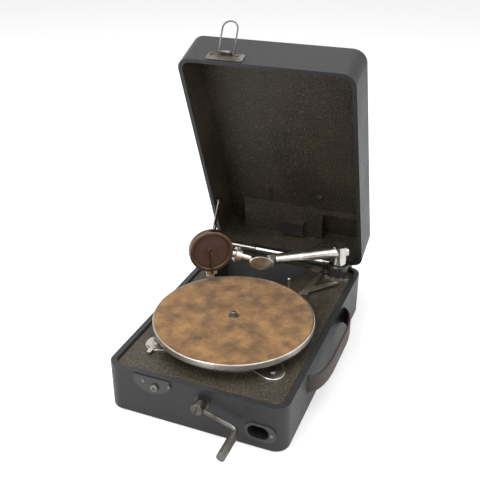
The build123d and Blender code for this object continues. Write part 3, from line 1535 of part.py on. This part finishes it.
# Lid stay: two links side by side, whose knee is left open
lid_pivot = lid_point(0, stay_lid_u, stay_lid_w)
stay_span = Vector(0, lid_pivot.Y - stay_base_y, lid_pivot.Z - stay_base_z)
stay_up = stay_span.normalized()
stay_fold = hypot(hinge_y - stay_lid_u - stay_base_y, hinge_z + stay_lid_w - stay_base_z)
stay_inner_x = -inner_wall_x + 2 * seat_gap + stay_thickness
lining_inner_x = half_width - lid_wall - hair_gap - lining_thickness
lower_link = (stay_span.length + stay_fold) / 2
upper_link = (stay_span.length - stay_fold) / 2
for label, pivot, reach_up, stay_link, layer, pin_end_x in (
    ("stay_lower", Vector(0, stay_base_y, stay_base_z), stay_up, lower_link, 1, seat_gap - inner_wall_x),
    ("stay_upper", lid_pivot, stay_up * -1, upper_link, 0, seat_gap - lining_inner_x),
):
    layer_x = stay_inner_x + layer * (stay_thickness + seat_gap)
    link_plane = Plane(origin=(layer_x, pivot.Y, pivot.Z), x_dir=reach_up, z_dir=(1, 0, 0))
    with BuildPart() as stay:
        with BuildSketch(link_plane):
            with Locations((stay_link / 2, 0)):
                SlotCenterToCenter(stay_link, stay_width)
        extrude(amount=stay_thickness)
        with BuildSketch(link_plane):
            Circle(stay_pin_radius)
        extrude(amount=pin_end_x - layer_x)
    save(stay.part, label)
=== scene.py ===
# %% [markdown]
# A portable gramophone stands open on a pale table. The solid model gives every rigid piece its
# shape, so this lesson loads it as a fixed frame and spends its effort on finishes: pebbled cloth,
# crackled paper, worn felt, tarnished plate and old leather.

import json
import math

import bmesh
import bpy
import numpy as np
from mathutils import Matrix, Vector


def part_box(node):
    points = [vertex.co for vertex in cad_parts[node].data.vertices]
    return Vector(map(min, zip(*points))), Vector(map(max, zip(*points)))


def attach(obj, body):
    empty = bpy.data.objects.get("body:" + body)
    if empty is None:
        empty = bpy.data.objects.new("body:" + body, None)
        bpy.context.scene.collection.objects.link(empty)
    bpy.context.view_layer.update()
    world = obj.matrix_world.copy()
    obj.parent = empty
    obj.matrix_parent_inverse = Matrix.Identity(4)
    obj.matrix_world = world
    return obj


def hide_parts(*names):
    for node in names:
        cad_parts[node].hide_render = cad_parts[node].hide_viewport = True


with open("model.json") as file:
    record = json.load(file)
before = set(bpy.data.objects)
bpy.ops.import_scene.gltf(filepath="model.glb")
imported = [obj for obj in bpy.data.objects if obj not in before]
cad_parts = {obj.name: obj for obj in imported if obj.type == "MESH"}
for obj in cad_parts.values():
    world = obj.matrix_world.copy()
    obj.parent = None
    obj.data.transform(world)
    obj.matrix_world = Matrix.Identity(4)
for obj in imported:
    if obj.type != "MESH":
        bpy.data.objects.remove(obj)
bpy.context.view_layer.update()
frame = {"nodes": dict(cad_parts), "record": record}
nodes = frame["nodes"]
slots = {part["node"]: part["material_slot"] for part in frame["record"]["subparts"]}
print("pieces in the frame:", len(nodes))

# %% [markdown]
# The camera repeats the photograph: it stands in front and to the right, and looks down at the
# open case. Its place was solved from the straight edges of the case, so it is written as numbers.

# %% Camera
camera_data = bpy.data.cameras.new("camera")
camera_data.sensor_width = 36.0
camera_data.lens = 54.2
camera = bpy.data.objects.new("camera", camera_data)
camera.location = (0.333, -0.8413, 0.6548)
camera.rotation_euler = (math.radians(62.8), 0.0, math.radians(22.24))
bpy.context.scene.collection.objects.link(camera)
bpy.context.scene.camera = camera
bpy.context.scene.view_settings.view_transform = "Standard"
print("camera lens", camera_data.lens)

# %% [markdown]
# Each material is a small graph of nodes. Building one by hand takes many lines, so two short
# helpers make a node and join sockets. They keep the recipes below readable.

# %% Helpers for node graphs


def node(tree, kind, inputs=None, **settings):
    """One node of a kind, with its settings and the values or links of its inputs."""
    made = tree.nodes.new(kind)
    for name, value in settings.items():
        setattr(made, name, value)
    for name, value in (inputs or {}).items():
        if isinstance(value, bpy.types.NodeSocket):
            tree.links.new(value, made.inputs[name])
        else:
            made.inputs[name].default_value = value
    return made


def ramp(tree, factor, low, high, low_at=0.0, high_at=1.0):
    """A colour that goes from low to high while the factor goes from low_at to high_at."""
    made = node(tree, "ShaderNodeValToRGB", {"Fac": factor})
    made.color_ramp.elements[0].position = low_at
    made.color_ramp.elements[1].position = high_at
    made.color_ramp.elements[0].color = (*low, 1.0)
    made.color_ramp.elements[1].color = (*high, 1.0)
    return made.outputs["Color"]


def group(name, inputs, outputs):
    """A shader node group with named value inputs and outputs, and its two end nodes."""
    tree = bpy.data.node_groups.new(name, "ShaderNodeTree")
    for title, value in inputs.items():
        socket = tree.interface.new_socket(title, in_out="INPUT", socket_type="NodeSocketFloat")
        socket.default_value = value
    for title in outputs:
        tree.interface.new_socket(title, in_out="OUTPUT", socket_type="NodeSocketFloat")
    return tree, tree.nodes.new("NodeGroupInput"), tree.nodes.new("NodeGroupOutput")


print("helpers ready")

# %% [markdown]
# Leathercloth is pressed with a pattern of small pebbles, and old paper cracks into islands. Both
# are cells, and a Voronoi texture makes cells. The distance to the nearest cell edge gives the
# creases, and a noise bends the lines so that they don't look drawn.

# %% The cell pattern as a group
cells, cells_in, cells_out = group("cells", {"Scale": 500.0, "Bend": 0.0006}, ["Islands"])
place = node(cells, "ShaderNodeTexCoord").outputs["Object"]
bend = node(cells, "ShaderNodeTexNoise", {"Vector": place, "Scale": 220.0, "Detail": 3.0})
shift = node(cells, "ShaderNodeVectorMath", {0: bend.outputs["Color"], 1: (0.5, 0.5, 0.5)},
             operation="SUBTRACT")
sized = node(cells, "ShaderNodeVectorMath",
             {0: shift.outputs[0], "Scale": cells_in.outputs["Bend"]}, operation="SCALE")
bent = node(cells, "ShaderNodeVectorMath", {0: place, 1: sized.outputs[0]},
            operation="ADD").outputs[0]
edge = node(cells, "ShaderNodeTexVoronoi", {"Vector": bent, "Scale": cells_in.outputs["Scale"]},
            feature="DISTANCE_TO_EDGE")
cells.links.new(edge.outputs["Distance"], cells_out.inputs["Islands"])
print("group cells has", len(cells.nodes), "nodes")

# %% [markdown]
# Nothing this old is evenly worn. A second group mixes a broad noise, for stains and handling,
# with a fine one, for dust and scuffs. Every material reads the same group with its own sizes.

# %% The wear pattern as a group
wear, wear_in, wear_out = group("wear", {"Broad": 14.0, "Fine": 260.0}, ["Stain", "Scuff"])
place = node(wear, "ShaderNodeTexCoord").outputs["Object"]
broad = node(wear, "ShaderNodeTexNoise", {"Vector": place, "Scale": wear_in.outputs["Broad"],
                                          "Detail": 6.0, "Roughness": 0.62})
fine = node(wear, "ShaderNodeTexNoise", {"Vector": place, "Scale": wear_in.outputs["Fine"],
                                         "Detail": 4.0})
both = node(wear, "ShaderNodeMath", {0: broad.outputs["Fac"], 1: fine.outputs["Fac"]},
            operation="MULTIPLY")
wear.links.new(broad.outputs["Fac"], wear_out.inputs["Stain"])
wear.links.new(both.outputs[0], wear_out.inputs["Scuff"])
print("group wear has", len(wear.nodes), "nodes")

# %% [markdown]
# A finish starts from a Principled shader. One helper makes the material and puts both groups in
# it, a second gives it a bump from a height, a third lets its gloss follow a pattern, and a
# fourth mixes two colours. A recipe then only says what makes its colour, gloss and relief.

# %% A material with groups in it
gloss_from, gloss_to = 0.25, 0.7  # the wear pattern's values mostly lie between these


def finish_of(name, metallic=0.0, coat=0.0, sheen=0.0):
    """A new material: its tree, its shader, and the two groups placed inside it."""
    material = bpy.data.materials.new(name)
    material.use_nodes = True
    tree = material.node_tree
    shader = tree.nodes["Principled BSDF"]
    shader.inputs["Metallic"].default_value = metallic
    shader.inputs["Coat Weight"].default_value = coat
    shader.inputs["Sheen Weight"].default_value = sheen
    pattern = node(tree, "ShaderNodeGroup", node_tree=cells)
    worn = node(tree, "ShaderNodeGroup", node_tree=wear)
    return material, tree, shader, pattern, worn


def relief(tree, shader, height, distance):
    """A bump of a real depth in metres, joined to the shader's normal."""
    bump = node(tree, "ShaderNodeBump", {"Height": height, "Distance": distance, "Strength": 1.0})
    tree.links.new(bump.outputs["Normal"], shader.inputs["Normal"])


def gloss(tree, shader, factor, low, high):
    """Roughness that goes from low to high with a factor."""
    made = node(tree, "ShaderNodeMapRange", {"Value": factor, "From Min": gloss_from,
                                             "From Max": gloss_to, "To Min": low, "To Max": high})
    tree.links.new(made.outputs["Result"], shader.inputs["Roughness"])


def mix_colours(tree, factor, first, second, blend="MIX"):
    """Two colours mixed. A Mix node takes colours at sockets 6 and 7 and gives one at 2."""
    made = node(tree, "ShaderNodeMix", {0: factor, 6: first, 7: second}, data_type="RGBA",
                blend_type=blend)
    return made.outputs[2]


print("finish helpers ready")

# %% [markdown]
# Cell finishes: the outside cloth has pebbles about a millimetre across, the lining and the motor
# board carry a paper whose dark islands are split by tan cracks a few millimetres apart, and
# the handle leather has a fine grain that shows brown where hands have rubbed it.

# %% Cloth, crackle and leather


def cell_finish(name, size, dark, light, depth, rough, split=(0.0, 0.3), crack=None, coat=0.0):
    """Islands and cracks of two colours: colour and height follow the distance to a crack."""
    material, tree, shader, pattern, worn = finish_of(name, coat=coat)
    pattern.inputs["Scale"].default_value = 1.0 / size
    pattern.inputs["Bend"].default_value = size * 0.7
    islands = pattern.outputs["Islands"]
    stained = ramp(tree, worn.outputs["Stain"], dark, light, 0.38, 0.66)
    mask = node(tree, "ShaderNodeMapRange", {"Value": islands, "From Min": split[0],
                                             "From Max": split[1]}).outputs["Result"]
    colour = mix_colours(tree, mask, (*(crack or dark), 1.0), stained)
    tree.links.new(colour, shader.inputs["Base Color"])
    gloss(tree, shader, worn.outputs["Stain"], *rough)
    relief(tree, shader, mask, depth)
    return material


leathercloth = cell_finish("leathercloth", size=0.0011, dark=(0.005, 0.005, 0.006),
                           light=(0.013, 0.0135, 0.016), depth=0.00014, rough=(0.30, 0.46),
                           coat=0.10)
crackle = cell_finish("crackle_lining", size=0.0044, dark=(0.007, 0.006, 0.005),
                      light=(0.024, 0.018, 0.011), depth=0.00010, rough=(0.38, 0.58),
                      split=(0.01, 0.08), crack=(0.080, 0.060, 0.034))
board = cell_finish("crackle_board", size=0.0036, dark=(0.008, 0.007, 0.006),
                    light=(0.024, 0.018, 0.012), depth=0.00008, rough=(0.36, 0.54),
                    split=(0.01, 0.09), crack=(0.115, 0.088, 0.048))
leather = cell_finish("handle_leather", size=0.0016, dark=(0.012, 0.007, 0.005),
                      light=(0.085, 0.040, 0.022), depth=0.00016, rough=(0.38, 0.60), coat=0.1)
print("cell finishes:", leathercloth.name, crackle.name, board.name, leather.name)

# %% [markdown]
# Metal finishes: plate is bright where it is clean and dull where it has tarnished, so both the
# colour and the roughness follow the stains. Enamel is the same recipe without the metal.

# %% Metals and enamel


def plain_finish(name, clean, stained, rough, metallic=1.0, coat=0.0, depth=0.00001):
    """A smooth surface with stains: colour, gloss and a slight relief follow the wear pattern."""
    material, tree, shader, pattern, worn = finish_of(name, metallic=metallic, coat=coat)
    tree.nodes.remove(pattern)
    worn.inputs["Broad"].default_value = 34.0
    colour = ramp(tree, worn.outputs["Stain"], stained, clean, 0.34, 0.58)
    tree.links.new(colour, shader.inputs["Base Color"])
    gloss(tree, shader, worn.outputs["Stain"], rough[1], rough[0])
    relief(tree, shader, worn.outputs["Scuff"], depth)
    return material


metal = {
    "chrome": plain_finish("bright_plate", (0.66, 0.64, 0.60), (0.36, 0.33, 0.28), (0.12, 0.30)),
    "nickel": plain_finish("nickel_plate", (0.62, 0.59, 0.54), (0.34, 0.31, 0.26), (0.26, 0.46)),
    "steel": plain_finish("old_steel", (0.20, 0.19, 0.18), (0.09, 0.075, 0.06), (0.34, 0.55)),
    "brass": plain_finish("wheel_brass", (0.52, 0.36, 0.13), (0.28, 0.18, 0.07), (0.28, 0.46)),
    "bronze": plain_finish("soundbox_bronze", (0.17, 0.12, 0.08), (0.07, 0.05, 0.035),
                           (0.28, 0.48)),
    "black_enamel": plain_finish("black_enamel", (0.020, 0.019, 0.018), (0.035, 0.030, 0.026),
                                 (0.22, 0.42), metallic=0.0, coat=0.3),
    "horn_black": plain_finish("horn_black", (0.006, 0.006, 0.006), (0.012, 0.010, 0.009),
                               (0.6, 0.8), metallic=0.0),
    "wood": plain_finish("plain_board", (0.20, 0.12, 0.065), (0.11, 0.065, 0.035), (0.55, 0.75),
                         metallic=0.0, depth=0.0001),
}
print("plain finishes:", sorted(metal))

# %% [markdown]
# The soundbox disc is lacquered brown, pressed with plain rings round its middle. Rings are the
# sine of the distance from the centre, so the disc gets its own small recipe: its own place comes
# from the box of its node, and a Mapping node puts that place at the origin. The brown is darkened
# in the groove of each ring, which is painted shade.

# %% Soundbox disc
disc_low, disc_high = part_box("diaphragm")
disc_middle = (disc_low + disc_high) / 2
ring_rate = 1900.0  # radians of the sine per metre, which sets the rings 3.3 mm apart
disc, tree, shader, pattern, worn = finish_of("soundbox_disc", coat=0.35)
tree.nodes.remove(pattern)
place = node(tree, "ShaderNodeTexCoord").outputs["Object"]
centred = node(tree, "ShaderNodeMapping", {"Vector": place, "Location": tuple(-disc_middle)})
far = node(tree, "ShaderNodeVectorMath", {0: centred.outputs[0]},
           operation="LENGTH").outputs["Value"]
turns = node(tree, "ShaderNodeMath", {0: far, 1: ring_rate}, operation="MULTIPLY").outputs[0]
rings = node(tree, "ShaderNodeMath", {0: turns}, operation="SINE").outputs[0]
brown = ramp(tree, worn.outputs["Stain"], (0.050, 0.020, 0.013), (0.120, 0.050, 0.033), 0.36, 0.64)
# painted shade: the colour drops to 0.45 where the sine is low, in the grooves of the pressed
# rings, in step with the bump below
shade = ramp(tree, rings, (0.45, 0.42, 0.40), (1.0, 1.0, 1.0), 0.0, 0.3)
ringed = mix_colours(tree, 0.8, brown, shade, blend="MULTIPLY")
tree.links.new(ringed, shader.inputs["Base Color"])
gloss(tree, shader, worn.outputs["Stain"], 0.26, 0.44)
relief(tree, shader, rings, 0.0002)
print("disc centre in mm:", [round(value * 1000, 1) for value in disc_middle])

# %% [markdown]
# The felt is the largest bright surface: tan where it is worn through and dark brown in blotches.
# Fine noise stands for its fibres, and sheen gives the soft edge that wool has.

# %% Felt finish
felt_finish, tree, shader, pattern, worn = finish_of("worn_felt", sheen=0.35)
tree.nodes.remove(pattern)
worn.inputs["Broad"].default_value = 46.0
worn.inputs["Fine"].default_value = 1100.0
blotch = ramp(tree, worn.outputs["Stain"], (0.150, 0.068, 0.015), (0.370, 0.190, 0.055), 0.30, 0.66)
fibre = ramp(tree, worn.outputs["Scuff"], (0.62, 0.60, 0.58), (1.0, 1.0, 1.0), 0.14, 0.36)
wool = mix_colours(tree, 1.0, blotch, fibre, blend="MULTIPLY")
tree.links.new(wool, shader.inputs["Base Color"])
shader.inputs["Roughness"].default_value = 0.95
relief(tree, shader, worn.outputs["Scuff"], 0.0006)
print("felt finish ready")

# %% [markdown]
# Every piece of the frame takes the finish of its slot in the record. A few pieces look different
# from their slot in the photograph, so a short list of exceptions follows.

# %% Dress the frame
dress = {"leathercloth": leathercloth, "black_paper": board, "crackle": crackle, "leather": leather,
         "felt": felt_finish, "diaphragm": disc, **metal}
exceptions = {"motor_plate": metal["nickel"], "storage_escutcheon": metal["black_enamel"],
              "crank_escutcheon": metal["black_enamel"], "lock_plate": metal["black_enamel"],
              "lock_boss": metal["steel"], "latch_plate": metal["steel"],
              "latch_ring": metal["steel"], "lid_clips": metal["steel"],
              "horn_duct": metal["horn_black"],
              "needle_bar": metal["bronze"], "buffer_block": metal["black_enamel"]}
for name, piece in nodes.items():
    piece.data.materials.clear()
    piece.data.materials.append(exceptions.get(name, dress[slots[name]]))
print("dressed", len(nodes), "pieces")

# %% [markdown]
# Felt and leather are soft, so their solids are replaced. Both new pieces are surfaces of two
# numbers: one runs round a closed outline and the other carries that outline along or round.

# %% Turn a grid of points into a closed mesh


def piece_from(name, points, material, closed_along):
    """points[i, j] is the surface at step i along and j round; neighbours become faces."""
    along, around = points.shape[:2]
    last = along if closed_along else along - 1
    i, j = np.meshgrid(np.arange(last), np.arange(around), indexing="ij")
    i2, j2 = (i + 1) % along, (j + 1) % around
    faces = np.stack([i * around + j, i2 * around + j, i2 * around + j2, i * around + j2], -1)
    face_list = faces.reshape(-1, 4).tolist()
    if not closed_along:
        face_list.append(list(range(around)))
        face_list.append(list(range((along - 1) * around, along * around))[::-1])
    mesh = bpy.data.meshes.new(name)
    mesh.from_pydata(points.reshape(-1, 3).tolist(), [], face_list)
    mesh.materials.append(material)
    mesh.polygons.foreach_set("use_smooth", [len(face) == 4 for face in face_list])
    made = bpy.data.objects.new(name, mesh)
    bpy.context.scene.collection.objects.link(made)
    return made


def outward(made):
    """Recalculates the normals of a closed mesh so that its faces point out."""
    work = bmesh.new()
    work.from_mesh(made.data)
    bmesh.ops.recalc_face_normals(work, faces=work.faces)
    work.to_mesh(made.data)
    work.free()
    return made


print("grid helper ready")

# %% [markdown]
# The felt is a ring-shaped sheet: its outline runs out over the top to the rim, down, back under
# to the spindle hole and up. Small waves in the height of the top, about a tenth of a millimetre,
# keep the light from lying on it as on a plate.

# %% Felt disc
felt_low, felt_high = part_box("felt")
centre = (felt_low + felt_high) / 2
outer = (felt_high.x - felt_low.x) / 2
inner = 0.0050  # the hole clears the spindle
rim_round = 0.0006
wave_height = 0.00012
top_steps, under_steps = 34, 6
turn = np.linspace(0, 2 * math.pi, 180, endpoint=False)
radii = np.concatenate([np.linspace(inner, outer - rim_round, top_steps), [outer, outer],
                        np.linspace(outer, inner, under_steps)])
tops = np.concatenate([np.full(top_steps, 1.0), [0.6, 0.0], np.zeros(under_steps)])
angle, radius = np.meshgrid(turn, radii, indexing="ij")
wave = wave_height * np.sin(61 * radius / outer + 3 * angle) * np.sin(5 * angle + 40 * radius)
height = felt_low.z + tops[None, :] * (felt_high.z - felt_low.z - wave_height + wave)
felt_points = np.stack([centre.x + radius * np.cos(angle), centre.y + radius * np.sin(angle),
                        height], -1)
felt_disc = outward(piece_from("felt_disc", felt_points, felt_finish, True))
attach(felt_disc, "turntable")
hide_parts("felt")
print("felt disc faces:", len(felt_disc.data.polygons))

# %% [markdown]
# The handle is a thick strap that leaves one slit of the case, bows out and enters the other. A
# path is smoothed from a few corners, and an oblong with round corners is carried along it: the
# cosine and sine of an angle, each raised to a power below one, which flattens its sides.

# %% Handle strap
strap_low, strap_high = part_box("handle_strap")
strap_outer = strap_high.x - 0.002
slit_x, bend_x = 0.1110, 0.1330
front_y, back_y = -0.099, 0.084
half_thick, half_wide = 0.0019, 0.0134
outline_steps = 40
path = np.array([[slit_x, front_y], [bend_x, front_y], [strap_outer, -0.065],
                 [strap_outer, -0.0075], [strap_outer, 0.050], [bend_x, back_y],
                 [slit_x, back_y]])
for _ in range(4):
    # every run is cut at a quarter and three quarters of its length, and the ends stay
    quarter = path[:-1] * 0.75 + path[1:] * 0.25
    three = path[:-1] * 0.25 + path[1:] * 0.75
    path = np.concatenate([path[:1], np.stack([quarter, three], 1).reshape(-1, 2), path[-1:]])
step = np.gradient(path, axis=0)
step /= np.linalg.norm(step, axis=1)[:, None]
side = np.stack([step[:, 1], -step[:, 0]], 1)
round_angle = np.linspace(0, 2 * math.pi, outline_steps, endpoint=False)
out = np.sign(np.cos(round_angle)) * np.abs(np.cos(round_angle)) ** 0.7 * half_thick
up = np.sign(np.sin(round_angle)) * np.abs(np.sin(round_angle)) ** 0.25 * half_wide
strap_points = np.zeros((len(path), outline_steps, 3))
strap_points[..., :2] = path[:, None, :] + side[:, None, :] * out[None, :, None]
strap_points[..., 2] = (strap_low.z + strap_high.z) / 2 + up[None, :]
strap = outward(piece_from("leather_strap", strap_points, leather, False))
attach(strap, "case")
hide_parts("handle_strap")
print("strap path points:", len(path))

# %% [markdown]
# Two rows of thread hold the strap's layers together. A stitch is a small bead drawn out along the
# path, and the same bead is placed at even distances, so one mesh holds them all.

# %% Stitches
stitch_apart = 0.0055
bare_end = 0.024
row_height = 0.0108
stitch_out = 0.0015  # from the strap's middle, so that a bead is half sunk in its outer face
bead_long, bead_thick = 0.0019, 0.0004
bead_along, bead_around = 5, 6
gaps = np.linalg.norm(np.diff(path, axis=0), axis=1)
run = np.concatenate([[0.0], np.cumsum(gaps)])
spots = np.arange(bare_end, run[-1] - bare_end, stitch_apart)
stitch_at = np.stack([np.interp(spots, run, path[:, k]) for k in (0, 1)], 1)
stitch_way = np.stack([np.interp(spots, run, step[:, k]) for k in (0, 1)], 1)
stitch_side = np.stack([stitch_way[:, 1], -stitch_way[:, 0]], 1)
lon, lat = np.meshgrid(np.linspace(0, 2 * math.pi, bead_around, endpoint=False),
                       np.linspace(0.15, math.pi - 0.15, bead_along))
bead = np.stack([np.cos(lat) * bead_long, np.sin(lat) * np.cos(lon) * bead_thick,
                 np.sin(lat) * np.sin(lon) * bead_thick], -1).reshape(-1, 3)
i, j = np.meshgrid(np.arange(bead_along - 1), np.arange(bead_around), indexing="ij")
here, ahead = i * bead_around, (i + 1) * bead_around
beside = (j + 1) % bead_around
quads = np.stack([here + j, ahead + j, ahead + beside, here + beside], -1).reshape(-1, 4)
all_points = []
for row in (-row_height, row_height):
    flat = (stitch_at[:, None, :] + stitch_way[:, None, :] * bead[None, :, :1]
            + stitch_side[:, None, :] * (stitch_out + bead[None, :, 1:2]))
    level = np.broadcast_to(strap_points[0, :, 2].mean() + row + bead[None, :, 2:],
                            (len(spots), len(bead), 1))
    all_points.append(np.concatenate([flat, level], -1).reshape(-1, 3))
count = len(spots) * 2
base = np.arange(count)[:, None, None] * len(bead)
all_faces = (quads[None] + base).reshape(-1, 4).tolist()
first_ring = list(range(bead_around))
last_ring = [(bead_along - 1) * bead_around + n for n in first_ring][::-1]
for ring in (first_ring, last_ring):
    all_faces += [[k * len(bead) + n for n in ring] for k in range(count)]
thread = plain_finish("waxed_thread", (0.10, 0.075, 0.05), (0.05, 0.035, 0.025), (0.6, 0.8),
                      metallic=0.0)
stitch_mesh = bpy.data.meshes.new("strap_stitches")
stitch_mesh.from_pydata(np.concatenate(all_points).tolist(), [], all_faces)
stitch_mesh.materials.append(thread)
stitches = bpy.data.objects.new("strap_stitches", stitch_mesh)
bpy.context.scene.collection.objects.link(stitches)
outward(stitches)
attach(stitches, "case")
print("stitches:", count)

# %% [markdown]
# The table is a wide pale plane, and large soft lamps stand round the case as in a studio. The
# camera alone sees the table glow a little, which keeps it pale. The world is white where the
# camera or a reflection looks at it, and mid grey in the light that it adds.

# %% Floor, lamps and world
half_floor = 6.0
floor_glow = 0.30
grid = np.linspace(-half_floor, half_floor, 3)
floor_x, floor_y = np.meshgrid(grid, grid, indexing="ij")
floor_points = np.stack([floor_x, floor_y, np.zeros_like(floor_x)], -1).reshape(-1, 3)
floor_faces = [[0, 3, 4, 1], [1, 4, 5, 2], [3, 6, 7, 4], [4, 7, 8, 5]]
floor_mesh = bpy.data.meshes.new("floor")
floor_mesh.from_pydata(floor_points.tolist(), [], floor_faces)
floor_finish = bpy.data.materials.new("pale_table")
floor_finish.use_nodes = True
floor_shader = floor_finish.node_tree.nodes["Principled BSDF"]
floor_shader.inputs["Base Color"].default_value = (0.92, 0.92, 0.92, 1.0)
floor_shader.inputs["Roughness"].default_value = 0.9
floor_tree = floor_finish.node_tree
floor_rays = node(floor_tree, "ShaderNodeLightPath")
lift = node(floor_tree, "ShaderNodeMath", {0: floor_rays.outputs["Is Camera Ray"], 1: floor_glow},
            operation="MULTIPLY")
floor_tree.links.new(lift.outputs[0], floor_shader.inputs["Emission Strength"])
floor_shader.inputs["Emission Color"].default_value = (1.0, 1.0, 1.0, 1.0)
floor_mesh.materials.append(floor_finish)
floor = bpy.data.objects.new("floor", floor_mesh)
bpy.context.scene.collection.objects.link(floor)

for name, spot, turn_to, size, power in (
    ("key", (-0.9, -1.2, 1.9), (math.radians(38), 0, math.radians(-37)), 1.4, 26.0),
    ("fill", (1.6, -0.9, 1.3), (math.radians(52), 0, math.radians(60)), 1.2, 12.0),
    ("top", (0.0, 0.1, 2.2), (0, 0, 0), 1.8, 20.0),
):
    lamp_data = bpy.data.lights.new(name, "AREA")
    lamp_data.size = size
    lamp_data.energy = power
    lamp = bpy.data.objects.new(name, lamp_data)
    lamp.location = spot
    lamp.rotation_euler = turn_to
    bpy.context.scene.collection.objects.link(lamp)

world = bpy.data.worlds.new("studio")
bpy.context.scene.world = world
world.use_nodes = True
sky = world.node_tree
rays = node(sky, "ShaderNodeLightPath")
seen = node(sky, "ShaderNodeMath",
            {0: rays.outputs["Is Camera Ray"], 1: rays.outputs["Is Glossy Ray"]},
            operation="MAXIMUM")
seen = node(sky, "ShaderNodeMath", {0: seen.outputs[0], 1: rays.outputs["Is Transmission Ray"]},
            operation="MAXIMUM")
tone = ramp(sky, seen.outputs[0], (0.55, 0.55, 0.56), (1.0, 1.0, 1.0))
sky.links.new(tone, sky.nodes["Background"].inputs["Color"])
print("lamps and floor ready")
